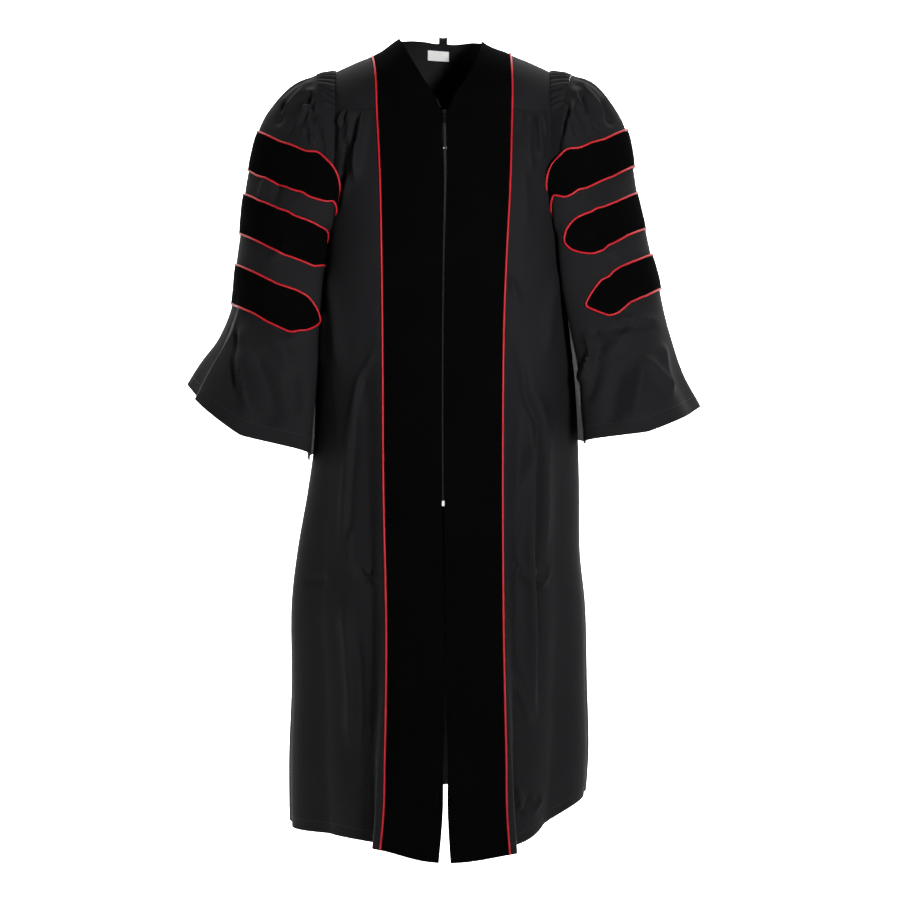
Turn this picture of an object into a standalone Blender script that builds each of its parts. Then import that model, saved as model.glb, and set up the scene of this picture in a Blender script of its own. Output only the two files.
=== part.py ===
"""Doctoral graduation gown, worn and filled out with no wearer.

Metres, +Z up. The front faces -Y, and left is -X, as seen from the front.
The origin lies between the shoulders, where the wearer holds the gown up.
Every panel is cut from one body form, so neighbours share their seam points.
"""
import math
from collections import namedtuple

import bmesh
import bpy
from mathutils import Matrix, Vector

# Driving sizes
CLOTH = 0.0012            # crepe wall
VELVET = 0.0016           # velvet facing wall
SEAM = 0.0003             # space between neighbouring pieces
ROUNDNESS = 2.5           # superellipse power of the body's sections
YOKE_FRONT_Z = -0.084     # front yoke seam
YOKE_BACK_Z = -0.120      # back yoke seam
YOKE_HALF = 0.174         # yoke's half width at the sleeve heads
ARMPIT_Z = -0.270
SIDE_REACH = 0.200        # the body's usual half width, which turns seams into angles
FACING_REACH = 0.100      # a facing's usual reach from the centre
YOKE_RISE = 0.075         # the yoke form's least depth, which turns its seams into angles
PIPING = 0.0015           # piping's radius
BACK_DRAPES = 12          # drapes that fall from the gathered back

# Half widths and depths of the body by height
Section = namedtuple("Section", "z left right front back")
BODY = [
    Section(-0.060, 0.198, 0.198, 0.082, 0.088),
    Section(-0.120, 0.196, 0.196, 0.096, 0.095),
    Section(-0.200, 0.192, 0.192, 0.116, 0.112),
    Section(-0.270, 0.190, 0.190, 0.127, 0.126),
    Section(-0.330, 0.1940, 0.1940, 0.1313, 0.1340),
    Section(-0.420, 0.2035, 0.205, 0.136, 0.144),
    Section(-0.520, 0.2085, 0.216, 0.141, 0.152),
    Section(-0.620, 0.2115, 0.2215, 0.147, 0.158),
    Section(-0.700, 0.222, 0.223, 0.154, 0.163),
    Section(-0.800, 0.239, 0.223, 0.163, 0.168),
    Section(-0.890, 0.248, 0.231, 0.170, 0.175),
    Section(-1.020, 0.246, 0.233, 0.180, 0.184),
    Section(-1.140, 0.249, 0.235, 0.188, 0.192),
    Section(-1.280, 0.247, 0.222, 0.197, 0.200),
]

# Hem height by the angle round the body, 0 at centre front, 90 at the left side
HemPoint = namedtuple("HemPoint", "angle z")
HEM = [
    HemPoint(-180, -1.212), HemPoint(-130, -1.232), HemPoint(-90, -1.246),
    HemPoint(-50, -1.243), HemPoint(-28, -1.248), HemPoint(-8, -1.264),
    HemPoint(8, -1.266), HemPoint(30, -1.256), HemPoint(52, -1.248),
    HemPoint(68, -1.232), HemPoint(90, -1.195), HemPoint(130, -1.204),
    HemPoint(180, -1.212),
]

# Velvet facings: reach from the centre to the piping, half gap at the centre,
# and how far the centre line leans to +X
Facing = namedtuple("Facing", "z reach gap lean")
FACINGS = [
    Facing(-0.084, 0.1080, 0.0035, 0.0026),
    Facing(-0.200, 0.1030, 0.0028, 0.0039),
    Facing(-0.330, 0.0980, 0.0014, 0.0020),
    Facing(-0.450, 0.0950, 0.0013, 0.0006),
    Facing(-0.680, 0.0930, 0.0013, 0.0006),
    Facing(-0.910, 0.0908, 0.0013, 0.0036),
    Facing(-1.050, 0.0925, 0.0013, 0.0045),
    Facing(-1.100, 0.0936, 0.0033, 0.0045),
    Facing(-1.190, 0.0951, 0.0036, 0.0042),
    Facing(-1.280, 0.1025, 0.0100, 0.0030),
]

# Facings above the yoke seam, from the V over the shoulder to the centre back:
# turn is the angle over the shoulder, 0 at the front seam, 90 at the crest
Collar = namedtuple("Collar", "in_x in_turn out_x out_turn end_x end_turn lean")
COLLAR = [
    Collar(0.0075, 0.0, 0.1080, 0.0, 0.174, 0.0, 0.0026),
    Collar(0.0185, 8.0, 0.1085, 12.0, 0.174, 14.0, 0.0026),
    Collar(0.0350, 17.0, 0.1090, 26.0, 0.174, 30.0, 0.0020),
    Collar(0.0530, 34.0, 0.1100, 45.0, 0.174, 48.0, 0.0005),
    Collar(0.0655, 60.0, 0.1115, 66.0, 0.174, 68.0, -0.0020),
    Collar(0.0685, 90.0, 0.1120, 90.0, 0.174, 90.0, -0.0035),
    Collar(0.0640, 103.5, 0.1080, 110.0, 0.174, 112.0, -0.0030),
    Collar(0.0540, 113.8, 0.0960, 126.0, 0.174, 134.0, -0.0020),
    Collar(0.0400, 123.0, 0.0770, 137.0, 0.174, 156.0, -0.0010),
    Collar(0.0250, 128.3, 0.0540, 144.0, 0.174, 180.0, 0.0),
    Collar(0.0120, 131.2, 0.0270, 148.0, 0.090, 180.0, 0.0),
    Collar(0.0, 132.6, 0.0, 149.0, 0.0, 180.0, 0.0),
]

# Height of the shoulder crest by distance from the centre
Crest = namedtuple("Crest", "x z")
CREST = [
    Crest(0.0, 0.112), Crest(0.036, 0.086), Crest(0.070, 0.0425),
    Crest(0.112, 0.0165), Crest(0.140, 0.0050), Crest(0.180, -0.0130),
]

# Rows of the body's panels: heights above the armpit, then shares of the way
# from the armpit to the hem
CHEST_ROW = -0.125
ARM_ROWS = [-0.165, -0.205, -0.235, -0.257, ARMPIT_Z]
FACING_START = YOKE_FRONT_Z - 0.004           # a facing's first row under the yoke seam
SKIRT_ROWS = [0.07, 0.16, 0.26, 0.36, 0.46, 0.56, 0.66, 0.76, 0.88, 1.0]
FRONT_COLUMNS = [0.0, 0.04, 0.09, 0.15, 0.22, 0.30, 0.38, 0.47, 0.57, 0.68, 0.79, 0.90, 1.0]
VELVET_COLUMNS = [0.0, 0.33, 0.66, 1.0]
YOKE_COLUMNS = [0.0, 0.33, 0.66, 1.0]

# Trough beside the piping, which lets the velvet stand proud lower down
Trough = namedtuple("Trough", "z depth")
TROUGH = [
    Trough(-0.084, 0.0), Trough(-0.380, 0.0), Trough(-0.600, 0.014),
    Trough(-0.800, 0.028), Trough(-1.000, 0.042), Trough(-1.280, 0.056),
]

# Height of the back's drapes
Drape = namedtuple("Drape", "z height")
DRAPES = [
    Drape(-0.060, 0.0025), Drape(-0.120, 0.0030), Drape(-0.300, 0.0050),
    Drape(-0.600, 0.0090), Drape(-1.280, 0.0170),
]

# Folds of the fronts, each along a line seen from the front
Fold = namedtuple("Fold", "top_x top_z low_x low_z width depth")
FOLDS = [
    Fold(-0.127, -0.080, -0.144, -0.200, 0.011, 0.0040),
    Fold(-0.144, -0.080, -0.155, -0.150, 0.009, 0.0030),
    Fold(-0.159, -0.080, -0.166, -0.160, 0.008, 0.0030),
    Fold(-0.128, -0.487, -0.156, -0.660, 0.013, 0.0060),
    Fold(-0.156, -0.660, -0.172, -0.840, 0.014, 0.0055),
    Fold(-0.106, -0.830, -0.138, -0.818, 0.010, 0.0040),
    Fold(-0.172, -0.870, -0.166, -1.120, 0.016, 0.0060),
    Fold(0.133, -0.080, 0.140, -0.190, 0.010, 0.0030),
    Fold(0.152, -0.080, 0.158, -0.170, 0.009, 0.0030),
    Fold(0.125, -0.480, 0.150, -0.590, 0.013, 0.0070),
    Fold(0.150, -0.590, 0.166, -0.800, 0.014, 0.0075),
    Fold(0.166, -0.800, 0.184, -1.090, 0.016, 0.0070),
]

# Sleeves: each row's outer, front and inner point seen from the front, its depth
# forward and back of the middle, how far the front of its edge sags, how far it
# laps in front of the body, and how straight it runs from the outer point down
Ring = namedtuple("Ring", "out_x out_z mid_x mid_z in_x in_z front back sag lap straight")
SLEEVE_LEFT = [
    Ring(0.208, -0.016, 0.188, -0.140, 0.1985, -0.273, 0.066, 0.070, 0, 0, 0),
    Ring(0.250, -0.037, 0.192, -0.149, 0.2000, -0.278, 0.073, 0.080, 0, 0, 0),
    Ring(0.284, -0.073, 0.196, -0.158, 0.2010, -0.283, 0.077, 0.087, 0, 0, 0.5),
    Ring(0.303, -0.111, 0.200, -0.170, 0.2020, -0.290, 0.080, 0.091, 0, 0.0057, 1),
    Ring(0.317, -0.168, 0.212, -0.217, 0.2030, -0.306, 0.083, 0.094, 0, 0.0114, 1),
    Ring(0.325, -0.213, 0.238, -0.252, 0.2040, -0.320, 0.086, 0.098, 0, 0.0254, 1),
    Ring(0.331, -0.273, 0.254, -0.309, 0.2055, -0.354, 0.090, 0.104, 0, 0.0318, 1),
    Ring(0.338, -0.328, 0.264, -0.363, 0.2070, -0.396, 0.095, 0.111, 0, 0.0343, 1),
    Ring(0.345, -0.389, 0.271, -0.427, 0.2090, -0.445, 0.103, 0.122, 0, 0.0356, 1),
    Ring(0.356, -0.438, 0.281, -0.480, 0.2110, -0.518, 0.117, 0.140, 0.004, 0.0387, 0.5),
    Ring(0.385, -0.478, 0.297, -0.532, 0.2160, -0.580, 0.132, 0.159, 0.012, 0.0457, 0),
    Ring(0.414, -0.521, 0.316, -0.583, 0.2200, -0.645, 0.147, 0.178, 0.024, 0.0521, 0),
]
SLEEVE_RIGHT = [
    Ring(0.210, -0.0155, 0.188, -0.140, 0.1985, -0.273, 0.066, 0.070, 0, 0, 0),
    Ring(0.249, -0.033, 0.192, -0.149, 0.2000, -0.278, 0.073, 0.080, 0, 0, 0),
    Ring(0.281, -0.070, 0.196, -0.158, 0.2010, -0.283, 0.077, 0.087, 0, 0, 0.5),
    Ring(0.301, -0.109, 0.200, -0.168, 0.2020, -0.290, 0.080, 0.091, 0, 0.0083, 1),
    Ring(0.3115, -0.164, 0.210, -0.222, 0.2030, -0.306, 0.083, 0.094, 0, 0.0127, 1),
    Ring(0.318, -0.212, 0.238, -0.250, 0.2045, -0.320, 0.086, 0.098, 0, 0.0298, 1),
    Ring(0.331, -0.269, 0.254, -0.305, 0.2070, -0.353, 0.090, 0.104, 0, 0.0376, 1),
    Ring(0.341, -0.313, 0.265, -0.351, 0.2100, -0.391, 0.095, 0.111, 0, 0.04, 1),
    Ring(0.354, -0.365, 0.277, -0.408, 0.2155, -0.437, 0.103, 0.122, 0, 0.0381, 1),
    Ring(0.369, -0.440, 0.290, -0.475, 0.2225, -0.505, 0.117, 0.140, 0.002, 0.0338, 0.5),
    Ring(0.389, -0.506, 0.303, -0.535, 0.2255, -0.561, 0.132, 0.159, 0.006, 0.0366, 0),
    Ring(0.415, -0.560, 0.321, -0.589, 0.2300, -0.6186, 0.147, 0.178, 0.012, 0.0441, 0),
]
LAP_PEAK = 0.325          # greatest value of the lap's share along a row
STRAIGHT_END = 0.3        # a row bends again from this cosine of its angle
SECTION_POWER = 0.88      # below 1 gives a sleeve's section fuller sides
FRONT_HEAD_ANGLE = 58.0   # where the front yoke seam meets the sleeve
BACK_HEAD_ANGLE = 74.0    # where the back yoke seam meets it
SLEEVE_TOP_CELLS = 15     # sleeve columns under the fluted head
HEAD_STEPS = 4            # head columns for each of those
HEAD_INSET = 0.04         # share of a column that the head keeps clear at its ends
FLUTE_STEPS = 3           # head columns for each flute
FLUTE_HEIGHT = 0.0018
FLUTE_END = 0.4           # share of a flute's height that is left at the sleeve
BAR_GAP = 0.0009          # a bar lies this far off its sleeve
CAP_FOLDS = [0.0022, 0.0030, 0.0026, 0.0010]

# Velvet bars: the sleeve rows that bound each, and the columns of its two tips
Bar = namedtuple("Bar", "row front_tip back_tip")
BARS_LEFT = [Bar(4, 17, 25), Bar(6, 18, 24), Bar(8, 19, 23)]
BARS_RIGHT = [Bar(4, 17, 25), Bar(6, 18, 24), Bar(8, 18, 24)]

# Zip
ZIP_TOP_Z = -0.098
ZIP_LOW_Z = -0.709
CHAIN_HALF = 0.0025
CHAIN_DEEP = 0.0018
TAPE_REACH = 0.0130
TAPE = 0.0010
SLIDER = Vector((0.0062, 0.0032, 0.0095))
SLIDER_PROUD = 0.0012     # the slider's face stands this far out of the velvet
BRIDGE_WALL = 0.0008
WINDOW_PROUD = 0.0001     # the bridge's window starts this far out of the slider's face
WINDOW = Vector((0.0040, 0.0020, 0.0020))     # the hole that the tab's bar turns in
BRIDGE = Vector((0.0014, WINDOW.y + 2 * BRIDGE_WALL, WINDOW.z + 2 * BRIDGE_WALL))
TAB = Vector((0.0046, 0.0008, 0.0185))
TAB_BAR = 0.0010          # the bar at the tab's top, round the hinge
TAB_HOLE = Vector((0.0026, 0.0030, 0.0026))
STOP = Vector((0.0046, 0.0018, 0.0085))

# Loop at the back neck: its path along the neck's slope and out of it
Step = namedtuple("Step", "along out")
LOOP = [
    Step(0.0080, -0.0034), Step(0.0030, -0.0034), Step(-0.0020, -0.0046),
    Step(-0.0065, -0.0052), Step(-0.0100, -0.0034), Step(-0.0118, 0.0000),
    Step(-0.0100, 0.0036), Step(-0.0065, 0.0052), Step(-0.0020, 0.0042),
    Step(0.0030, 0.0015), Step(0.0120, 0.0015),
]
LOOP_HALF = 0.0065

# Label: its place across, half width, and where it starts and ends down the neck
LABEL_X = -0.008
LABEL_HALF = 0.018
LABEL_TURNS = [137.0, 139.5, 142.0]
LABEL_CELLS = 6
LABEL_GAP = 0.0008
LABEL = 0.0010

COLOURS = {
    "crepe": ((0.016, 0.016, 0.017, 1.0), 0.75, 0.0),
    "velvet": ((0.004, 0.004, 0.004, 1.0), 0.95, 0.0),
    "piping": ((0.42, 0.012, 0.020, 1.0), 0.45, 0.0),
    "tape": ((0.010, 0.010, 0.011, 1.0), 0.80, 0.0),
    "coil": ((0.20, 0.20, 0.21, 1.0), 0.45, 0.0),
    "steel": ((0.60, 0.60, 0.62, 1.0), 0.30, 1.0),
    "gunmetal": ((0.070, 0.070, 0.075, 1.0), 0.30, 1.0),
    "satin": ((0.85, 0.84, 0.82, 1.0), 0.50, 0.0),
}


def clear_scene():
    for item in list(bpy.data.objects):
        bpy.data.objects.remove(item, do_unlink=True)


def make_material(name):
    colour, roughness, metallic = COLOURS[name]
    material = bpy.data.materials.new(name)
    material.use_nodes = True
    shader = material.node_tree.nodes["Principled BSDF"]
    shader.inputs["Base Color"].default_value = colour
    shader.inputs["Roughness"].default_value = roughness
    shader.inputs["Metallic"].default_value = metallic
    return material


def smooth(share):
    share = min(max(share, 0.0), 1.0)
    return share * share * (3.0 - 2.0 * share)


def read_table(rows, key, column, at):
    """A table's column at a key, on a smooth curve through its rows."""
    rows = sorted(rows, key=lambda row: getattr(row, key))
    keys = [getattr(row, key) for row in rows]
    values = [getattr(row, column) for row in rows]
    if at <= keys[0]:
        return values[0]
    if at >= keys[-1]:
        return values[-1]
    last = len(rows) - 1
    i = max(k for k in range(last) if keys[k] <= at)

    def slope(k):
        a, b = max(k - 1, 0), min(k + 1, last)
        return (values[b] - values[a]) / (keys[b] - keys[a])

    span = keys[i + 1] - keys[i]
    t = (at - keys[i]) / span
    return ((2 * t ** 3 - 3 * t ** 2 + 1) * values[i]
            + (t ** 3 - 2 * t ** 2 + t) * span * slope(i)
            + (3 * t ** 2 - 2 * t ** 3) * values[i + 1]
            + (t ** 3 - t ** 2) * span * slope(i + 1))


def half_width(side, z):
    return read_table(BODY, "z", "right" if side > 0 else "left", z)


def plain_body(angle, z):
    """The body form without folds. Angle 0 is centre front, 90 the side at +X."""
    across, forward = math.sin(math.radians(angle)), math.cos(math.radians(angle))
    width = half_width(across, z)
    depth = read_table(BODY, "z", "front" if forward > 0 else "back", z)
    reach = ((abs(across) / width) ** ROUNDNESS
             + (abs(forward) / depth) ** ROUNDNESS) ** (-1.0 / ROUNDNESS)
    return Vector((reach * across, -reach * forward, z))


def angle_at(x, z, face="front"):
    """The angle at which the body form reaches x, on its front or its back."""
    side = 1.0 if x >= 0 else -1.0
    share = min(abs(x) / half_width(side, z), 1.0)
    depth = read_table(BODY, "z", face, z) * (1.0 - share ** ROUNDNESS) ** (1.0 / ROUNDNESS)
    angle = math.degrees(math.atan2(abs(x), depth))
    return side * (angle if face == "front" else 180.0 - angle)


def relief(angle, z, point):
    """How far the cloth stands out of the body form, folds and drapes."""
    if abs(angle) > 90.0:
        share = math.copysign(180.0 - abs(angle), angle) / back_span(z)
        growth = read_table(DRAPES, "z", "height", z)
        place = (share + 1.0) / 2.0 * BACK_DRAPES
        uneven = 1.0 + 0.35 * math.sin(2.4 * math.floor(place) + 1.0)
        wave = 0.5 - 0.5 * math.cos(2.0 * math.pi * place)
        return growth * uneven * wave * smooth((1.0 - abs(share)) * 4.5)
    side = 1.0 if point.x >= 0 else -1.0
    lean = read_table(FACINGS, "z", "lean", z)
    beside = side * (point.x - lean) - read_table(FACINGS, "z", "reach", z)
    if beside <= 0.0:
        return 0.0
    room = smooth((90.0 - abs(angle)) / 25.0)
    out = -read_table(TROUGH, "z", "depth", z) * smooth(beside / 0.034) * room
    for fold in FOLDS:
        run = Vector((fold.low_x - fold.top_x, fold.low_z - fold.top_z))
        here = Vector((point.x - fold.top_x, z - fold.top_z))
        along = min(max(here.dot(run) / run.length_squared, 0.0), 1.0)
        away = (here - run * along).length / fold.width
        out += fold.depth * math.exp(-away * away) * room * smooth(beside / 0.010)
    return out


def back_span(z):
    """Half the angle that the back panel covers at a height."""
    if z <= ARMPIT_Z:
        return 90.0
    return 180.0 - abs(angle_at(arm_edge(z, "back"), z, "back"))


def outward(point_at, u, v, du, dv):
    """The normal of a surface from its points on each side."""
    along = point_at(u + du, v) - point_at(u - du, v)
    up = point_at(u, v + dv) - point_at(u, v - dv)
    return along.cross(up).normalized()


def body_point(angle, z):
    point = plain_body(angle, z)
    normal = outward(plain_body, angle, z, 0.5, 0.004)
    return point + normal * relief(angle, z, point)


def body_normal(angle, z):
    return outward(body_point, angle, z, 1.0, 0.006)


def cap_point(x, turn):
    """The shoulder form, from the front yoke seam over the crest to the back one."""
    side = 1.0 if x >= 0 else -1.0
    base, face = (YOKE_FRONT_Z, "front") if turn < 90.0 else (YOKE_BACK_Z, "back")
    share = min(abs(x) / half_width(side, base), 1.0)
    depth = read_table(BODY, "z", face, base) * (1.0 - share ** ROUNDNESS) ** (1.0 / ROUNDNESS)
    rise = read_table(CREST, "x", "z", abs(x)) - base
    return Vector((x, -depth * math.cos(math.radians(turn)),
                   base + rise * math.sin(math.radians(turn))))


def cap_normal(x, turn):
    return outward(cap_point, x, turn, 0.002, 1.0)


def row_height(share, angle):
    hem = read_table(HEM, "angle", "z", angle)
    return ARMPIT_Z + (hem - ARMPIT_Z) * share


def arm_edge(z, face):
    """The armhole's x on the front or the back, from the yoke to the armpit."""
    top = YOKE_FRONT_Z if face == "front" else YOKE_BACK_Z
    share = min(max((top - z) / (top - ARMPIT_Z), 0.0), 1.0)
    bend = 3.5 if face == "front" else 2.0
    return YOKE_HALF + (half_width(1.0, ARMPIT_Z) - YOKE_HALF) * share ** bend


class Wall:
    """A grid of cloth: outer points with their normals, made into a closed wall."""

    def __init__(self):
        self.points = []
        self.normals = []

    def add_row(self, points, normals):
        self.points.append(points)
        self.normals.append(normals)

    def build(self, name, material, thickness, ring=False, keep=None, inner=None):
        rows, columns = len(self.points), len(self.points[0])
        mesh = bmesh.new()
        outer = [[mesh.verts.new(p) for p in row] for row in self.points]
        base = inner or self.points
        under = [[mesh.verts.new(base[i][j] - self.normals[i][j] * thickness)
                  for j in range(columns)] for i in range(rows)]
        edges = {}
        last = columns if ring else columns - 1
        for i in range(rows - 1):
            for j in range(last):
                if keep and not keep(i, j):
                    continue
                k = (j + 1) % columns
                loop = [(i, j), (i, k), (i + 1, k), (i + 1, j)]
                for a, b, c in ((0, 1, 2), (0, 2, 3)):
                    mesh.faces.new([outer[r][s] for r, s in (loop[a], loop[b], loop[c])])
                    mesh.faces.new([under[r][s] for r, s in (loop[c], loop[b], loop[a])])
                for a, b in zip(loop, loop[1:] + loop[:1]):
                    edges[(a, b)] = edges.get((a, b), 0) + 1
        for (a, b) in edges:
            if (b, a) not in edges:
                mesh.faces.new([outer[b[0]][b[1]], outer[a[0]][a[1]],
                                under[a[0]][a[1]], under[b[0]][b[1]]])
        loose = [v for v in mesh.verts if not v.link_faces]
        bmesh.ops.delete(mesh, geom=loose, context="VERTS")
        bmesh.ops.recalc_face_normals(mesh, faces=mesh.faces)
        return finish_mesh(name, mesh, material)


def finish_mesh(name, mesh, material):
    data = bpy.data.meshes.new(name)
    mesh.to_mesh(data)
    mesh.free()
    data.materials.append(material)
    data.shade_smooth()
    data.set_sharp_from_angle(angle=math.radians(40.0))
    item = bpy.data.objects.new(name, data)
    bpy.data.collections["graduation_gown"].objects.link(item)
    return item


def tube(name, points, radius, material, cyclic=False):
    """A round cord along points: a curve with a bevel and filled caps."""
    data = bpy.data.curves.new(name, "CURVE")
    data.dimensions = "3D"
    data.bevel_depth = radius
    data.bevel_resolution = 0
    data.use_fill_caps = not cyclic
    spline = data.splines.new("POLY")
    spline.points.add(len(points) - 1)
    for control, point in zip(spline.points, points):
        control.co = (*point, 1.0)
    spline.use_cyclic_u = cyclic
    data.materials.append(material)
    item = bpy.data.objects.new(name, data)
    bpy.data.collections["graduation_gown"].objects.link(item)
    return item


def facing_place(side, share, row_share, z=None):
    """Angle and height on the body where a facing's own share across lies."""
    height = z if z is not None else row_height(row_share, 0.0)
    for _ in range(3):
        lean = read_table(FACINGS, "z", "lean", height)
        reach = read_table(FACINGS, "z", "reach", height)
        gap = read_table(FACINGS, "z", "gap", height)
        x = lean + side * (gap + (reach - gap) * share)
        angle = angle_at(x, height)
        if z is None:
            height = row_height(row_share, angle)
    return angle, height


def panel_rows(first):
    """A panel's rows as (share of the skirt, or None, and fixed height, or None)."""
    rows = [(None, z) for z in first + ARM_ROWS]
    return rows + [(share, None) for share in SKIRT_ROWS]


def make_front(name, side, material):
    wall = Wall()
    for share, z in panel_rows([YOKE_FRONT_Z - SEAM / 2, CHEST_ROW]):
        start, height = facing_place(side, 1.0 + SEAM / FACING_REACH, share, z)
        if z is not None and z > ARMPIT_Z:
            end = side * abs(angle_at(arm_edge(z, "front"), z))
        else:
            end = side * (90.0 - math.degrees(SEAM / 2 / SIDE_REACH))
        angles = [start + (end - start) * column for column in FRONT_COLUMNS]
        heights = [z if z is not None else row_height(share, angle) for angle in angles]
        wall.add_row([body_point(a, h) for a, h in zip(angles, heights)],
                     [body_normal(a, h) for a, h in zip(angles, heights)])
    return wall.build(name, material, CLOTH)


def make_back(material):
    wall = Wall()
    cells = 4 * BACK_DRAPES
    for share, z in panel_rows([YOKE_BACK_Z - SEAM / 2]):
        span = back_span(z if z is not None else ARMPIT_Z)
        if span == 90.0:
            span -= math.degrees(SEAM / 2 / SIDE_REACH)
        turns = [span * (2.0 * cell / cells - 1.0) for cell in range(cells + 1)]
        angles = [math.copysign(180.0, turn) - turn for turn in turns]
        heights = [z if z is not None else row_height(share, angle) for angle in angles]
        wall.add_row([body_point(a, h) for a, h in zip(angles, heights)],
                     [body_normal(a, h) for a, h in zip(angles, heights)])
    return wall.build("back", material, CLOTH)


def collar_place(side, row, column, share):
    """A place on the shoulder form, from a facing's inner edge to the yoke's edge."""
    inner = (side * row.in_x + row.lean, row.in_turn)
    middle = (side * row.out_x + row.lean, row.out_turn)
    end = (side * row.end_x, row.end_turn)
    a, b = (inner, middle) if column == "velvet" else (middle, end)
    return tuple(p + (q - p) * share for p, q in zip(a, b))


def closed_seam(side, row, share):
    """Centre-back seam: the last row stands half a gap from the middle."""
    x, turn = collar_place(side, row, "velvet", share)
    if row is COLLAR[-1]:
        x = side * SEAM / 2
    return x, turn


def make_velvet(name, side, material):
    wall = Wall()
    for share, z in reversed(panel_rows([FACING_START, CHEST_ROW])):
        places = [facing_place(side, column, share, z) for column in VELVET_COLUMNS]
        wall.add_row([body_point(a, h) for a, h in places],
                     [body_normal(a, h) for a, h in places])
    for row in COLLAR:
        places = [closed_seam(side, row, column) for column in VELVET_COLUMNS]
        wall.add_row([cap_point(x, turn) for x, turn in places],
                     [cap_normal(x, turn) for x, turn in places])
    return wall.build(name, material, VELVET)


def yoke_shares(side, row):
    """Shares across the yoke, which starts one gap outside the velvet."""
    length = (cap_point(*collar_place(side, row, "yoke", 1.0))
              - cap_point(*collar_place(side, row, "yoke", 0.0))).length
    first = SEAM / length
    return [first + (1.0 - first) * column for column in YOKE_COLUMNS]


def yoke_edge_turn(turn):
    """Holds the yoke's edges half a gap off its front and back seams."""
    step = math.degrees(SEAM / 2 / YOKE_RISE)
    return min(max(turn, step), 180.0 - step)


def make_yoke(material):
    wall = Wall()
    left = [(-1.0, row) for row in COLLAR]
    right = [(1.0, row) for row in reversed(COLLAR[:-1])]
    for side, row in left + right:
        places = [collar_place(side, row, "yoke", share) for share in yoke_shares(side, row)]
        places = [(x, yoke_edge_turn(turn)) for x, turn in places]
        wall.add_row([cap_point(x, turn) for x, turn in places],
                     [cap_normal(x, turn) for x, turn in places])
    return wall.build("yoke", material, CLOTH)


def make_piping(name, side, material):
    """The cord on the seam between the velvet and the crepe, hem to centre back."""
    lift = PIPING + SEAM
    path = []
    for share, z in reversed(panel_rows([FACING_START, CHEST_ROW])):
        angle, height = facing_place(side, 1.0, share, z)
        path.append(body_point(angle, height) + body_normal(angle, height) * lift)
    for row in COLLAR:
        x, turn = closed_seam(side, row, 1.0)
        path.append(cap_point(x, turn) + cap_normal(x, turn) * lift)
    path[-1].x = side * SEAM
    return tube(name, path, PIPING, material)


def armhole(side):
    """The armhole's points from the back yoke seam over the top and round again."""
    tops = [row.end_turn for row in COLLAR if row.end_x == YOKE_HALF]
    top = [cap_point(side * YOKE_HALF, yoke_edge_turn(turn)) for turn in reversed(tops)]
    front = []
    back = []
    for z in [CHEST_ROW] + ARM_ROWS:
        x = side * arm_edge(z, "front")
        front.append(body_point(angle_at(x, z), z))
    for z in ARM_ROWS[:-1]:
        x = side * arm_edge(z, "back")
        back.append(body_point(angle_at(x, z, "back"), z))
    return top, front, list(reversed(back))


def resample(points, count):
    """Evenly spaced places along a chain of points, still on its straight runs."""
    lengths = [(b - a).length for a, b in zip(points, points[1:])]
    total = sum(lengths)
    result = []
    for k in range(count + 1):
        at = total * k / count
        i = 0
        while i < len(lengths) - 1 and at > lengths[i]:
            at -= lengths[i]
            i += 1
        result.append(points[i].lerp(points[i + 1], min(at / lengths[i], 1.0)))
    return result


def ring_angles(armhole_z):
    """Angles of the sleeve's columns: 0 is its outer line, 90 its front."""
    span = FRONT_HEAD_ANGLE + BACK_HEAD_ANGLE
    top = [-BACK_HEAD_ANGLE + span * k / SLEEVE_TOP_CELLS for k in range(SLEEVE_TOP_CELLS + 1)]
    front, back = armhole_z
    fall = (180.0 - FRONT_HEAD_ANGLE) / (YOKE_FRONT_Z - ARMPIT_Z)
    climb = (180.0 - BACK_HEAD_ANGLE) / (YOKE_BACK_Z - ARMPIT_Z)
    return (top + [FRONT_HEAD_ANGLE + (YOKE_FRONT_Z - z) * fall for z in front]
            + [180.0 + (z - ARMPIT_Z) * climb for z in back])


def ring_point(side, ring, angle):
    """A sleeve row's point: a bent ellipse through its outer, middle and inner places."""
    c, s = math.cos(math.radians(angle)), math.sin(math.radians(angle))
    weights = (c * (c + 1.0) / 2.0, 1.0 - c * c, c * (c - 1.0) / 2.0)
    x = sum(w * p for w, p in zip(weights, (ring.out_x, ring.mid_x, ring.in_x)))
    z = sum(w * p for w, p in zip(weights, (ring.out_z, ring.mid_z, ring.in_z)))
    fall = (ring.mid_z - ring.out_z) / (ring.mid_x - ring.out_x)
    line = ring.out_z + (x - ring.out_x) * fall
    z += (line - z) * ring.straight * smooth(c / STRAIGHT_END)
    x -= ring.lap * max(s, 0.0) ** 3 * max(-c, 0.0) / LAP_PEAK
    deep = ring.front if s > 0 else ring.back
    y = -deep * math.copysign(abs(s) ** SECTION_POWER, s)
    z -= ring.sag * max(s, 0.0) ** 1.5
    return Vector((side * x, y, z))


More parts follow.
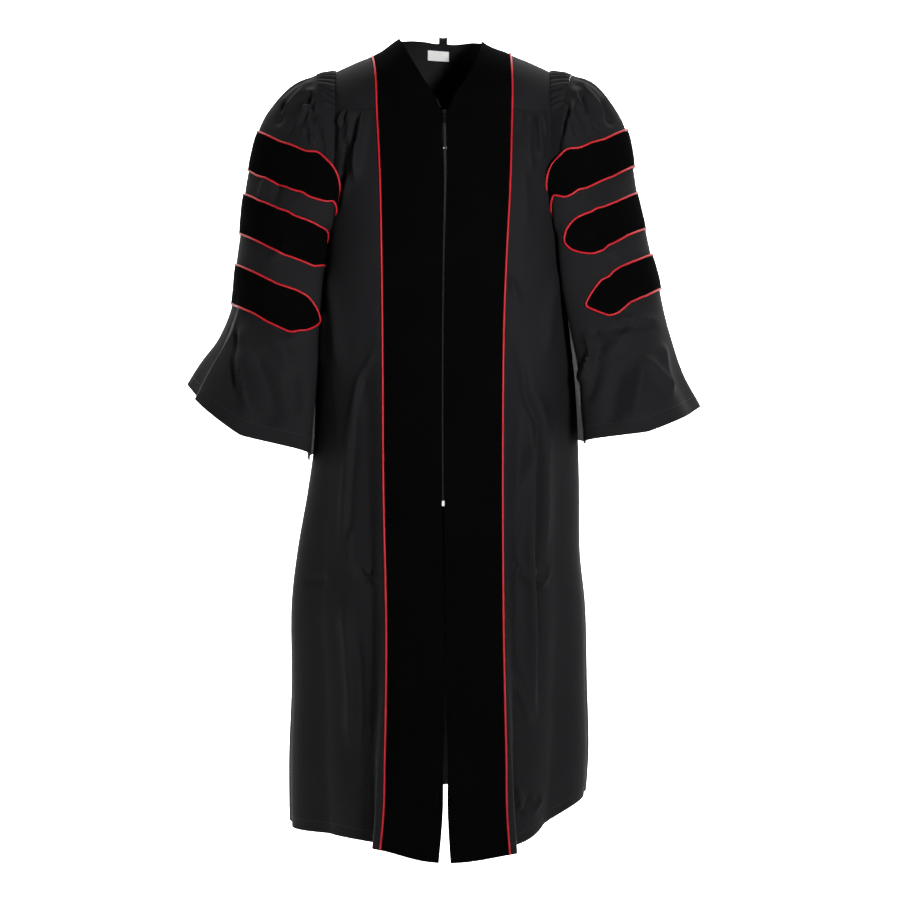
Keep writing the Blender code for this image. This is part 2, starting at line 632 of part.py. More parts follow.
def sleeve_grid(side, rings):
    """Points and normals of a sleeve, row 0 on the armhole, then a row for each ring,
    with a middle row inside each velvet bar."""
    top, front, back = armhole(side)
    edge = resample(top, SLEEVE_TOP_CELLS) + front + back
    angles = ring_angles(([CHEST_ROW] + ARM_ROWS, list(reversed(ARM_ROWS[:-1]))))
    rows = [edge] + [[ring_point(side, ring, angle) for angle in angles] for ring in rings]
    bars = [bar.row for bar in BARS_LEFT]
    full = []
    for i, row in enumerate(rows):
        full.append(row)
        if i in bars:
            full.append([a.lerp(b, 0.5) for a, b in zip(row, rows[i + 1])])
    count = len(angles)
    normals = []
    for i, row in enumerate(full):
        above, below = full[max(i - 1, 0)], full[min(i + 1, len(full) - 1)]
        line = []
        for j in range(count):
            across = row[(j + 1) % count] - row[j - 1]
            normal = across.cross(below[j] - above[j]).normalized()
            line.append(normal if side > 0 else -normal)
        normals.append(line)
    for i, height in enumerate(CAP_FOLDS):
        for j in range(1, SLEEVE_TOP_CELLS, 2):
            full[i + 2][j] = full[i + 2][j] + normals[i + 2][j] * height
    return full, normals


def is_head(i, j):
    return i == 0 and j < SLEEVE_TOP_CELLS


def make_sleeve(name, grid, material):
    points, normals = grid
    wall = Wall()
    first = [p + (q - p).normalized() * SEAM for p, q in zip(points[0], points[1])]
    wall.add_row(first, normals[0])
    for row, line in zip(points[1:], normals[1:]):
        wall.add_row(row, line)
    return wall.build(name, material, CLOTH, ring=True, keep=lambda i, j: not is_head(i, j))


def make_head(name, grid, material):
    """The fluted band that joins the yoke to the sleeve."""
    points, normals = grid
    wall = Wall()
    inner = []
    steps = SLEEVE_TOP_CELLS * HEAD_STEPS
    for share in (0.0, 0.5, 1.0):
        row, line, plain = [], [], []
        for k in range(steps + 1):
            at = min(max(k / HEAD_STEPS, HEAD_INSET), SLEEVE_TOP_CELLS - HEAD_INSET)
            j = min(int(at), SLEEVE_TOP_CELLS - 1)
            a, b = (points[r][j].lerp(points[r][j + 1], at - j) for r in (0, 1))
            m, n = (normals[r][j].lerp(normals[r][j + 1], at - j) for r in (0, 1))
            room = SEAM / (b - a).length
            base = a.lerp(b, min(max(share, room), 1.0 - room))
            normal = m.lerp(n, share).normalized()
            height = FLUTE_HEIGHT if k % FLUTE_STEPS else 0.0
            height *= 1.0 if share < 1.0 else FLUTE_END
            plain.append(base)
            row.append(base + normal * height)
            line.append(normal)
        wall.add_row(row, line)
        inner.append(plain)
    return wall.build(name, material, CLOTH, inner=inner)


def bar_columns(bar, count):
    """The sleeve's columns across a bar, from its back tip over the top to its front."""
    return list(range(bar.back_tip, count)) + list(range(0, bar.front_tip + 1))


def full_row(bar):
    """The bar's first row once the earlier bars' middle rows are counted."""
    return bar.row + sum(1 for other in BARS_LEFT if other.row < bar.row)


def make_bar(name, grid, bar, material):
    points, normals = grid
    first = full_row(bar)
    columns = bar_columns(bar, len(points[0]))
    mesh = bmesh.new()
    layers = []
    for lift in (BAR_GAP + VELVET, BAR_GAP):
        layer = {}
        for j in columns:
            tip = j in (columns[0], columns[-1])
            for i in ((first + 1,) if tip else (first, first + 1, first + 2)):
                layer[(i, j)] = mesh.verts.new(points[i][j] + normals[i][j] * lift)
        layers.append(layer)
    top, under = layers
    edges = {}
    for a, b in zip(columns, columns[1:]):
        for i in (first, first + 1):
            corners = [(i, a), (i, b), (i + 1, b), (i + 1, a)]
            corners = [c for c in corners if c in top]
            for k in range(1, len(corners) - 1):
                face = (corners[0], corners[k], corners[k + 1])
                mesh.faces.new([top[c] for c in face])
                mesh.faces.new([under[c] for c in reversed(face)])
            for p, q in zip(corners, corners[1:] + corners[:1]):
                edges[(p, q)] = True
    for p, q in edges:
        if (q, p) not in edges:
            mesh.faces.new([top[q], top[p], under[p], under[q]])
    bmesh.ops.recalc_face_normals(mesh, faces=mesh.faces)
    return finish_mesh(name, mesh, material)


def make_bar_piping(name, grid, bar, material):
    """The cord round a bar, just outside its edge, mitred at the corners."""
    points, normals = grid
    first = full_row(bar)
    columns = bar_columns(bar, len(points[0]))
    inner = columns[1:-1]
    places = [(first, j) for j in inner] + [(first + 1, columns[-1])]
    places += [(first + 2, j) for j in reversed(inner)] + [(first + 1, columns[0])]
    turn = 1.0 if points[first][inner[0]].x > 0 else -1.0
    path = []
    for k, (i, j) in enumerate(places):
        here, up = points[i][j], normals[i][j]
        p, q = places[k - 1], places[(k + 1) % len(places)]
        before = (here - points[p[0]][p[1]]).cross(up).normalized() * turn
        after = (points[q[0]][q[1]] - here).cross(up).normalized() * turn
        mitre = (before + after) / max(1.0 + before.dot(after), 0.5)
        path.append(here + mitre * (PIPING + SEAM) + up * (PIPING + 2 * BAR_GAP))
    return tube(name, path, PIPING, material, cyclic=True)


def zip_heights():
    between = [z for z in [CHEST_ROW] + ARM_ROWS if z < ZIP_TOP_Z]
    between += [row_height(share, 0.0) for share in SKIRT_ROWS]
    return [ZIP_TOP_Z] + [z for z in between if z > ZIP_LOW_Z] + [ZIP_LOW_Z]


def zip_strip(name, reaches, thickness, material):
    """A strip behind the velvet, between two distances from the centre line."""
    wall = Wall()
    behind = VELVET + SEAM
    for z in zip_heights():
        lean = read_table(FACINGS, "z", "lean", z)
        angles = [angle_at(lean + reach, z) for reach in reaches]
        normals = [body_normal(angle, z) for angle in angles]
        wall.add_row([body_point(a, z) - n * behind for a, n in zip(angles, normals)], normals)
    return wall.build(name, material, thickness)


def box(name, size, material, bevel=0.0):
    mesh = bmesh.new()
    bmesh.ops.create_cube(mesh, size=1.0)
    bmesh.ops.scale(mesh, vec=size, verts=mesh.verts)
    if bevel:
        bmesh.ops.bevel(mesh, geom=mesh.edges[:], offset=bevel, segments=1, affect="EDGES")
    return finish_mesh(name, mesh, material)


def guide(item):
    """Keeps a cutter out of the model."""
    for collection in list(item.users_collection):
        collection.objects.unlink(item)
    bpy.data.collections["guides"].objects.link(item)
    item.hide_render = True
    item.display_type = "WIRE"


def combine(item, other, operation):
    change = item.modifiers.new(operation.lower(), "BOOLEAN")
    change.operation = operation
    change.object = other
    guide(other)


def slider_frame():
    """Where the slider sits on the zip line, and how far it leans with the chest."""
    z = ZIP_TOP_Z + SEAM + SLIDER.z / 2
    lean = read_table(FACINGS, "z", "lean", z)
    here = body_point(angle_at(lean, z), z)
    below = body_point(angle_at(lean, z - 0.02), z - 0.02)
    tilt = math.atan2(below.y - here.y, here.z - below.z)
    return Vector((lean, here.y, z)), tilt


def make_slider(metal):
    """Slider body with its bridge, and the tab that swings on it."""
    place, tilt = slider_frame()
    turned = Matrix.Rotation(tilt, 4, "X")
    body = box("slider", SLIDER, metal, 0.0004)
    bridge = box("bridge", BRIDGE, metal)
    window = box("bridge_window", WINDOW, metal)
    pivot = Vector((0.0, -SLIDER_PROUD - WINDOW_PROUD - WINDOW.y / 2, 0.0))
    body_at = Vector((0.0, SLIDER.y / 2 - SLIDER_PROUD, 0.0))
    bridge_at = pivot + Vector((0.0, (WINDOW.y - BRIDGE.y) / 2 + BRIDGE_WALL / 2, 0.0))
    for item, at in ((body, body_at), (bridge, bridge_at), (window, pivot)):
        item.matrix_world = Matrix.Translation(place) @ turned @ Matrix.Translation(at)
    combine(body, bridge, "UNION")
    combine(body, window, "DIFFERENCE")
    tab = box("pull_tab", TAB, metal, 0.0003)
    hole = box("tab_hole", TAB_HOLE, metal)
    hinge = Matrix.Translation(place) @ turned @ Matrix.Translation(pivot)
    shift = TAB_BAR / 2 - TAB.z / 2
    tab.data.transform(Matrix.Translation((0.0, 0.0, shift)))
    tab.matrix_world = hinge
    hole.matrix_world = hinge @ Matrix.Translation((0.0, 0.0, -(TAB_BAR + TAB_HOLE.z) / 2))
    combine(tab, hole, "DIFFERENCE")


def make_stop(steel):
    z = ZIP_LOW_Z - SEAM - STOP.z / 2
    lean = read_table(FACINGS, "z", "lean", z)
    angle = angle_at(lean, z)
    stop = box("bottom_stop", STOP, steel, 0.0004)
    stop.location = body_point(angle, z) + body_normal(angle, z) * (2 * SEAM + STOP.y / 2)


def make_loop(material):
    """A short tape loop over the back neck edge, its legs sewn inside and outside."""
    turn = COLLAR[-1].in_turn
    edge, normal = cap_point(0.0, turn), cap_normal(0.0, turn)
    down = (cap_point(0.0, turn + 1.0) - edge).normalized()
    wall = Wall()
    path = [edge + down * step.along + normal * step.out for step in LOOP]
    last = len(path) - 1
    for i, point in enumerate(path):
        run = path[min(i + 1, last)] - path[max(i - 1, 0)]
        outside = run.cross(Vector((1.0, 0.0, 0.0))).normalized()
        wall.add_row([point + Vector((x, 0.0, 0.0)) for x in (-LOOP_HALF, 0.0, LOOP_HALF)],
                     [outside] * 3)
    return wall.build("hang_loop", material, CLOTH)


def make_label(material):
    """The label inside the back neck, left blank."""
    wall = Wall()
    for turn in LABEL_TURNS:
        row, line = [], []
        for k in range(LABEL_CELLS + 1):
            x = LABEL_X - LABEL_HALF + 2 * LABEL_HALF * k / LABEL_CELLS
            normal = cap_normal(x, turn)
            row.append(cap_point(x, turn) - normal * (VELVET + LABEL_GAP))
            line.append(normal)
        wall.add_row(row, line)
    return wall.build("label", material, LABEL)


def main():
    clear_scene()
    for name in ("graduation_gown", "guides"):
        if name not in bpy.data.collections:
            bpy.context.scene.collection.children.link(bpy.data.collections.new(name))
    look = {name: make_material(name) for name in COLOURS}
    make_yoke(look["crepe"])
    make_back(look["crepe"])
    sides = (("left", -1.0, SLEEVE_LEFT, BARS_LEFT), ("right", 1.0, SLEEVE_RIGHT, BARS_RIGHT))
    for word, side, rings, bars in sides:
        make_front(f"front_{word}", side, look["crepe"])
        make_velvet(f"velvet_{word}", side, look["velvet"])
        make_piping(f"piping_{word}", side, look["piping"])
        grid = sleeve_grid(side, rings)
        make_sleeve(f"sleeve_{word}", grid, look["crepe"])
        make_head(f"sleeve_head_{word}", grid, look["crepe"])
        for number, bar in enumerate(bars, 1):
            make_bar(f"bar_{word}_{number}", grid, bar, look["velvet"])
            make_bar_piping(f"bar_piping_{word}_{number}", grid, bar, look["piping"])
        near = CHAIN_HALF + SEAM
        zip_strip(f"zip_tape_{word}", sorted((side * near, side * TAPE_REACH)), TAPE, look["tape"])
    zip_strip("zip_chain", (-CHAIN_HALF, CHAIN_HALF), CHAIN_DEEP, look["coil"])
    make_slider(look["gunmetal"])
    make_stop(look["steel"])
    make_loop(look["crepe"])
    make_label(look["satin"])


main()
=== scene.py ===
# Doctoral graduation gown, hollow and filled out as worn: its looks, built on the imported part.
# Metres, +Z up. The front faces -Y, and left is -X, as seen from the front.
import math

import bpy
import numpy as np
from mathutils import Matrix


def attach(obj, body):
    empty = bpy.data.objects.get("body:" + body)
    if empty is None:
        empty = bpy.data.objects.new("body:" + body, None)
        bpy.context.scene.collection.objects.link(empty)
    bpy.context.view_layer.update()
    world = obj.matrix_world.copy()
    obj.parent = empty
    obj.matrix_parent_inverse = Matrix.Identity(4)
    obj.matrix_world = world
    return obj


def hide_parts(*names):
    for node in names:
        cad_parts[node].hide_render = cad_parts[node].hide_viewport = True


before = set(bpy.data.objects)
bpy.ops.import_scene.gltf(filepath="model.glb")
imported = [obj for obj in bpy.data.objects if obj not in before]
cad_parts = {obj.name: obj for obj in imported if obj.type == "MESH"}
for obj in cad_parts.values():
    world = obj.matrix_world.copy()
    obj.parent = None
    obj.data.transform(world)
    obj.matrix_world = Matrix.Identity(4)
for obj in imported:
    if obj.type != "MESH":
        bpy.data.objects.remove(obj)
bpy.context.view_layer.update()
rng = np.random.default_rng(12)
print("frame loaded")

sides = {"left": -1.0, "right": 1.0}
seam = 0.0003          # space between neighbouring pieces
clothWall = 0.0010
velvetWall = 0.0016


def table(columns, *rows):
    values = np.array(rows, float)
    return {name: values[:, k] for k, name in enumerate(columns.split())}


# the body's half widths and depths by height
body = table(
    "z left right front back",
    (-1.280, 0.247, 0.222, 0.197, 0.200), (-1.140, 0.249, 0.235, 0.188, 0.192),
    (-1.020, 0.246, 0.233, 0.180, 0.184), (-0.890, 0.248, 0.231, 0.170, 0.175),
    (-0.800, 0.239, 0.223, 0.163, 0.168), (-0.700, 0.222, 0.223, 0.154, 0.163),
    (-0.620, 0.2115, 0.2215, 0.147, 0.158), (-0.520, 0.2085, 0.216, 0.141, 0.152),
    (-0.420, 0.2035, 0.205, 0.136, 0.144), (-0.330, 0.194, 0.194, 0.1313, 0.134),
    (-0.270, 0.190, 0.190, 0.127, 0.126),
    (-0.200, 0.192, 0.192, 0.116, 0.112), (-0.120, 0.196, 0.196, 0.096, 0.095),
    (-0.060, 0.198, 0.198, 0.082, 0.088))
bodyShape = {"roundness": 2.5, "yokeFront": -0.084, "yokeBack": -0.120,
             "yokeHalf": 0.174, "armpit": -0.270}

# hem height by the angle round the body, 0 at centre front, 90 at the right side
hem = table(
    "angle z",
    (-180, -1.212), (-130, -1.232), (-90, -1.246), (-50, -1.243), (-28, -1.248),
    (-8, -1.264), (8, -1.266), (30, -1.256), (52, -1.248), (68, -1.232),
    (90, -1.195), (130, -1.204), (180, -1.212))

# velvet facings: reach to the piping, half gap and lean of the centre line
facing = table(
    "z reach gap lean",
    (-1.280, 0.1025, 0.0100, 0.0030), (-1.190, 0.0951, 0.0036, 0.0042),
    (-1.100, 0.0936, 0.0033, 0.0045), (-1.050, 0.0925, 0.0013, 0.0045),
    (-0.910, 0.0908, 0.0013, 0.0036), (-0.680, 0.0930, 0.0013, 0.0006),
    (-0.450, 0.0950, 0.0013, 0.0006), (-0.330, 0.0980, 0.0014, 0.0020),
    (-0.200, 0.1030, 0.0028, 0.0039), (-0.084, 0.1080, 0.0035, 0.0026))

# facings over the shoulder: turn is 0 at the front yoke seam, 90 at the crest
collar = table(
    "row inX inTurn outX outTurn endX endTurn lean",
    (0, 0.0075, 0.0, 0.1080, 0.0, 0.174, 0.0, 0.0026),
    (1, 0.0185, 8.0, 0.1085, 12.0, 0.174, 14.0, 0.0026),
    (2, 0.0350, 17.0, 0.1090, 26.0, 0.174, 30.0, 0.0020),
    (3, 0.0530, 34.0, 0.1100, 45.0, 0.174, 48.0, 0.0005),
    (4, 0.0655, 60.0, 0.1115, 66.0, 0.174, 68.0, -0.0020),
    (5, 0.0685, 90.0, 0.1120, 90.0, 0.174, 90.0, -0.0035),
    (6, 0.0640, 103.5, 0.1080, 110.0, 0.174, 112.0, -0.0030),
    (7, 0.0540, 113.8, 0.0960, 126.0, 0.174, 134.0, -0.0020),
    (8, 0.0400, 123.0, 0.0770, 137.0, 0.174, 156.0, -0.0010),
    (9, 0.0250, 128.3, 0.0540, 144.0, 0.174, 180.0, 0.0),
    (10, 0.0120, 131.2, 0.0270, 148.0, 0.090, 180.0, 0.0),
    (11, 0.0, 132.6, 0.0, 149.0, 0.0, 180.0, 0.0))
crest = table(
    "x z",
    (0.0, 0.112), (0.036, 0.086), (0.070, 0.0425), (0.112, 0.0165),
    (0.140, 0.0050), (0.180, -0.0130))
neckTilt = -0.085      # the neck stands a little higher on the left
trough = table(
    "z depth",
    (-1.280, 0.056), (-1.000, 0.042), (-0.800, 0.028), (-0.600, 0.014),
    (-0.380, 0.0), (-0.084, 0.0))
drape = table(
    "z height",
    (-1.280, 0.0170), (-0.600, 0.0090), (-0.300, 0.0050), (-0.120, 0.0030),
    (-0.060, 0.0025))
drapes = {"count": 12, "uneven": 0.35, "gathers": 46, "gatherHeight": 0.0016, "gatherFall": 0.085}

# creases of the front: a path seen from the front, then width and height, below 0 a trough
frontCreases = [
    (((-0.131, -0.080), (-0.134, -0.105), (-0.142, -0.150), (-0.150, -0.200)), 0.0030, -0.0034),
    (((-0.124, -0.080), (-0.127, -0.110), (-0.134, -0.160), (-0.140, -0.210)), 0.0045, 0.0036),
    (((-0.1475, -0.080), (-0.150, -0.092), (-0.157, -0.106)), 0.0028, 0.0026),
    (((-0.152, -0.080), (-0.156, -0.096), (-0.164, -0.118)), 0.0024, -0.0026),
    (((-0.157, -0.080), (-0.162, -0.094), (-0.169, -0.112)), 0.0028, 0.0028),
    (((-0.150, -0.125), (-0.158, -0.160), (-0.170, -0.205)), 0.0040, -0.0030),
    (((0.146, -0.080), (0.149, -0.110), (0.156, -0.160)), 0.0030, -0.0028),
    (((0.158, -0.080), (0.161, -0.100), (0.166, -0.130)), 0.0028, 0.0026),
    (((-0.127, -0.080), (-0.131, -0.130), (-0.140, -0.215)), 0.0085, 0.0042),
    (((-0.136, -0.080), (-0.141, -0.120), (-0.150, -0.190)), 0.0045, -0.0022),
    (((-0.144, -0.080), (-0.149, -0.110), (-0.155, -0.158)), 0.0060, 0.0032),
    (((-0.159, -0.080), (-0.163, -0.110), (-0.166, -0.160)), 0.0060, 0.0030),
    (((-0.1045, -0.467), (-0.1343, -0.520), (-0.1516, -0.602)), 0.0060, 0.0032),
    (((-0.116, -0.475), (-0.140, -0.560), (-0.1531, -0.661), (-0.1688, -0.834)), 0.0085, -0.0052),
    (((-0.128, -0.487), (-0.156, -0.640), (-0.174, -0.830)), 0.012, 0.0062),
    (((-0.134, -0.816), (-0.116, -0.826), (-0.098, -0.831)), 0.0050, 0.0026),
    (((-0.138, -0.827), (-0.120, -0.836), (-0.104, -0.845)), 0.0045, -0.0018),
    (((-0.172, -0.850), (-0.166, -0.930), (-0.163, -1.020), (-0.168, -1.120)), 0.013, 0.0058),
    (((-0.150, -0.900), (-0.146, -1.010), (-0.150, -1.130)), 0.0095, -0.0036),
    (((-0.125, -1.030), (-0.120, -1.110), (-0.128, -1.215)), 0.014, 0.0030),
    (((-0.185, -0.330), (-0.172, -0.420), (-0.170, -0.520)), 0.011, 0.0036),
    (((0.133, -0.080), (0.136, -0.130), (0.141, -0.200)), 0.0070, 0.0030),
    (((0.152, -0.080), (0.155, -0.120), (0.159, -0.175)), 0.0060, 0.0026),
    (((0.104, -0.356), (0.112, -0.378), (0.124, -0.402)), 0.0060, 0.0030),
    (((0.1071, -0.450), (0.1290, -0.500), (0.1369, -0.545), (0.1526, -0.583),
      (0.1604, -0.661), (0.1651, -0.802), (0.1761, -0.928), (0.184, -1.085)), 0.0078, -0.0075),
    (((0.122, -0.480), (0.150, -0.575), (0.149, -0.665), (0.152, -0.800),
      (0.163, -0.930), (0.172, -1.085)), 0.0120, 0.0072),
    (((0.150, -0.520), (0.172, -0.600), (0.178, -0.720), (0.182, -0.820)), 0.0110, 0.0040),
    (((0.157, -0.812), (0.168, -0.828), (0.184, -0.842)), 0.0045, 0.0024),
    (((0.155, -0.826), (0.170, -0.843), (0.186, -0.862)), 0.0045, -0.0020),
    (((0.1165, -0.951), (0.134, -0.985), (0.1526, -1.022)), 0.0070, 0.0026),
    (((0.137, -1.158), (0.148, -1.180), (0.160, -1.202)), 0.0050, 0.0024),
    (((0.118, -1.060), (0.121, -1.140), (0.128, -1.225)), 0.0120, -0.0028),
    (((0.184, -0.330), (0.172, -0.410), (0.168, -0.500)), 0.0110, 0.0034),
    (((-0.152, -0.165), (-0.166, -0.215), (-0.184, -0.262)), 0.0090, -0.0050),
    (((-0.133, -0.130), (-0.150, -0.190), (-0.163, -0.245)), 0.0070, 0.0034),
    (((-0.190, -0.400), (-0.203, -0.450), (-0.205, -0.505)), 0.0085, 0.0040),
    (((-0.108, -0.815), (-0.132, -0.826), (-0.150, -0.812)), 0.0055, -0.0045),
    (((-0.155, -0.745), (-0.163, -0.790), (-0.150, -0.838)), 0.0060, 0.0034),
    (((-0.205, -0.832), (-0.225, -0.838), (-0.248, -0.835)), 0.0050, -0.0020),
    (((0.108, -0.800), (0.136, -0.822), (0.160, -0.845)), 0.0050, 0.0032),
    (((0.156, -0.812), (0.178, -0.842), (0.198, -0.812)), 0.0045, 0.0030),
    (((0.112, -0.970), (0.140, -1.020), (0.168, -1.068)), 0.0075, 0.0036),
    (((0.120, -1.195), (0.138, -1.172), (0.152, -1.210)), 0.0055, 0.0034),
    (((0.140, -1.215), (0.168, -1.182), (0.196, -1.205)), 0.0060, -0.0032),
    (((0.168, -1.172), (0.186, -1.202), (0.206, -1.180)), 0.0055, 0.0030),
    (((0.152, -0.610), (0.128, -0.690), (0.122, -0.790)), 0.0100, 0.0034),
    (((0.122, -0.110), (0.128, -0.190), (0.134, -0.290)), 0.0100, 0.0026),
]

# creases of the back: x and height, seen from behind with +x to the right side
backCreases = [
    (((-0.150, -0.250), (-0.120, -0.330), (-0.085, -0.380)), 0.0100, 0.0026),
    (((0.155, -0.250), (0.128, -0.345), (0.090, -0.410)), 0.0100, 0.0028),
    (((-0.030, -0.620), (0.000, -0.640), (0.045, -0.632)), 0.0080, -0.0018),
    (((0.060, -0.860), (0.095, -0.880), (0.140, -0.872)), 0.0080, -0.0020),
    (((-0.150, -0.800), (-0.110, -0.822), (-0.070, -0.815)), 0.0080, 0.0018),
    (((-0.030, -1.080), (0.010, -1.100), (0.050, -1.092)), 0.0090, 0.0018),
]


def smooth(share):
    share = np.clip(share, 0.0, 1.0)
    return share * share * (3.0 - 2.0 * share)


def readTable(rows, column, at, key="z"):
    # a smooth curve through a table's column
    keys, values = rows[key], rows[column]
    at = np.clip(np.asarray(at, float), keys[0], keys[-1])
    last = len(keys) - 1
    upper, lower = np.minimum(np.arange(last + 1) + 1, last), np.maximum(np.arange(last + 1) - 1, 0)
    slopes = (values[upper] - values[lower]) / (keys[upper] - keys[lower])
    i = np.clip(np.searchsorted(keys, at, side="right") - 1, 0, last - 1)
    span = keys[i + 1] - keys[i]
    t = (at - keys[i]) / span
    return ((2 * t ** 3 - 3 * t ** 2 + 1) * values[i] + (t ** 3 - 2 * t ** 2 + t) * span * slopes[i]
            + (3 * t ** 2 - 2 * t ** 3) * values[i + 1] + (t ** 3 - t ** 2) * span * slopes[i + 1])


def normalOf(pointAt, u, v, du, dv):
    along = pointAt(u + du, v) - pointAt(u - du, v)
    up = pointAt(u, v + dv) - pointAt(u, v - dv)
    normal = np.cross(along, up)
    return normal / np.linalg.norm(normal, axis=-1, keepdims=True)


def creaseField(x, z, creases):
    # height of the cloth from soft creases that fade at both ends
    total = np.zeros(np.broadcast(x, z).shape)
    for path, width, height in creases:
        path = np.array(path)
        lengths = np.linalg.norm(np.diff(path, axis=0), axis=1)
        starts = np.concatenate([[0.0], np.cumsum(lengths)])
        best = np.full(total.shape, 9.0)
        share = np.zeros(total.shape)
        for a, b, length, start in zip(path, path[1:], lengths, starts):
            run = (b - a) / length
            t = np.clip((x - a[0]) * run[0] + (z - a[1]) * run[1], 0.0, length)
            away = np.hypot(x - a[0] - t * run[0], z - a[1] - t * run[1])
            near = away < best
            best = np.where(near, away, best)
            share = np.where(near, (start + t) / starts[-1], share)
        ends = smooth(share / 0.22) * smooth((1.0 - share) / 0.30)
        total = total + height * ends * np.exp(-(best / width) ** 1.7)
    return total


def ripple(x, z, seed, size):
    # shallow unevenness of hanging cloth, longer down than across
    spin = np.random.default_rng(seed)
    total = 0.0
    for k in range(6):
        turn, phase = spin.uniform(-0.45, 0.45), spin.uniform(0, 6.28)
        pitch = size * spin.uniform(0.6, 1.7)
        warp = 0.6 * np.sin(z / (size * 2.7) + phase * 2.0)
        total = total + np.sin((x * math.cos(turn) + z * math.sin(turn)) / pitch + phase + warp) / 6.0
    return total


def plainBody(angle, z):
    # the body form without folds; angle 0 is centre front, 90 the right side
    across, forward = np.sin(np.radians(angle)), np.cos(np.radians(angle))
    width = np.where(across > 0, readTable(body, "right", z), readTable(body, "left", z))
    depth = np.where(forward > 0, readTable(body, "front", z), readTable(body, "back", z))
    power = bodyShape["roundness"]
    reach = ((np.abs(across) / width) ** power + (np.abs(forward) / depth) ** power) ** (-1.0 / power)
    return np.stack(np.broadcast_arrays(reach * across, -reach * forward, z), -1)


def angleAt(x, z, face="front"):
    side = np.where(np.asarray(x) >= 0, 1.0, -1.0)
    width = np.where(side > 0, readTable(body, "right", z), readTable(body, "left", z))
    share = np.minimum(np.abs(x) / width, 1.0)
    power = bodyShape["roundness"]
    depth = readTable(body, face, z) * (1.0 - share ** power) ** (1.0 / power)
    angle = np.degrees(np.arctan2(np.abs(x), depth))
    return side * (angle if face == "front" else 180.0 - angle)


def armEdge(z, face):
    # the armhole's distance from the middle, from the yoke to the armpit
    top = bodyShape["yokeFront"] if face == "front" else bodyShape["yokeBack"]
    share = np.clip((top - z) / (top - bodyShape["armpit"]), 0.0, 1.0)
    bend = 3.5 if face == "front" else 2.0
    return bodyShape["yokeHalf"] + (0.190 - bodyShape["yokeHalf"]) * share ** bend


def backSpan(z):
    high = np.maximum(z, bodyShape["armpit"] + 1e-6)
    return np.where(z <= bodyShape["armpit"], 90.0,
                    180.0 - np.abs(angleAt(armEdge(high, "back"), high, "back")))


def relief(angle, z, point):
    # how far the cloth stands out of the body form
    x, y = point[..., 0], point[..., 1]
    span = backSpan(z)
    share = np.where(angle > 0, 180.0 - np.abs(angle), np.abs(angle) - 180.0) / span
    place = (share + 1.0) / 2.0 * drapes["count"]
    turn = place + 0.16 * np.sin(z * 7.0 + np.floor(place) * 1.9) * smooth((-0.3 - z) / 0.3)
    unlike = 1.0 + drapes["uneven"] * np.sin(2.4 * np.floor(place) + 1.0)
    wave = (0.5 - 0.5 * np.cos(2.0 * math.pi * turn)) ** 1.25
    edge = smooth((1.0 - np.abs(share)) * 4.5)
    backOut = readTable(drape, "height", z) * unlike * wave * edge
    fall = smooth(1.0 - (bodyShape["yokeBack"] - z) / drapes["gatherFall"]
                  * (1.0 + 0.45 * np.sin(place * 5.3)))
    pleat = np.abs(np.sin(share * drapes["gathers"] * math.pi / 2.0 + 0.7 * np.sin(share * 9.0)))
    backOut += drapes["gatherHeight"] * fall * pleat * edge
    backOut += creaseField(x, z, backCreases) * edge + 0.0011 * ripple(x, z, 5, 0.030) * edge
    lean, reach = readTable(facing, "lean", z), readTable(facing, "reach", z)
    side = np.where(x >= 0, 1.0, -1.0)
    beside = side * (x - lean) - reach
    room = smooth((90.0 - np.abs(angle)) / 25.0)
    low = smooth((-0.95 - z) / 0.25)       # nearer the hem the crepe keeps level beside the cord first
    inset = (beside - 0.010 * low) / (0.034 - 0.012 * low)
    frontOut = -readTable(trough, "depth", z) * smooth(inset) * room
    started = smooth(beside / 0.010) * room
    frontOut += 1.85 * creaseField(x, z, frontCreases) * started
    frontOut += 0.0013 * ripple(x, z, 3, 0.026) * started
    frontOut = np.where(beside > 0, frontOut, 0.0)
    velvetOut = np.where(beside <= 0, 0.00035 * ripple(x, z, 8, 0.045) * smooth(-beside / 0.02), 0.0)
    return np.where(np.abs(angle) > 90.0, backOut, frontOut + velvetOut)


def bodyPoint(angle, z):
    angle, z = np.broadcast_arrays(np.asarray(angle, float), np.asarray(z, float))
    point = plainBody(angle, z)
    return point + normalOf(plainBody, angle, z, 0.5, 0.004) * relief(angle, z, point)[..., None]


def bodyNormal(angle, z):
    return normalOf(bodyPoint, np.asarray(angle, float), np.asarray(z, float), 0.6, 0.004)


def capPoint(x, turn):
    # the shoulder form, from the front yoke seam over the crest to the back one
    x, turn = np.broadcast_arrays(np.asarray(x, float), np.asarray(turn, float))
    ahead = turn < 90.0
    base = np.where(ahead, bodyShape["yokeFront"], bodyShape["yokeBack"])
    width = np.where(x >= 0, readTable(body, "right", base), readTable(body, "left", base))
    share = np.minimum(np.abs(x) / width, 1.0)
    power = bodyShape["roundness"]
    depth = np.where(ahead, readTable(body, "front", base), readTable(body, "back", base))
    depth = depth * (1.0 - share ** power) ** (1.0 / power)
    tilt = neckTilt * x * smooth((0.105 - np.abs(x)) / 0.04)
    rise = readTable(crest, "z", np.abs(x), "x") + tilt - base
    return np.stack([x, -depth * np.cos(np.radians(turn)), base + rise * np.sin(np.radians(turn))], -1)


def capNormal(x, turn):
    return normalOf(capPoint, np.asarray(x, float), np.asarray(turn, float), 0.002, 1.0)


def rowHeight(share, angle):
    low = readTable(hem, "z", angle, "angle")
    return bodyShape["armpit"] + (low - bodyShape["armpit"]) * share


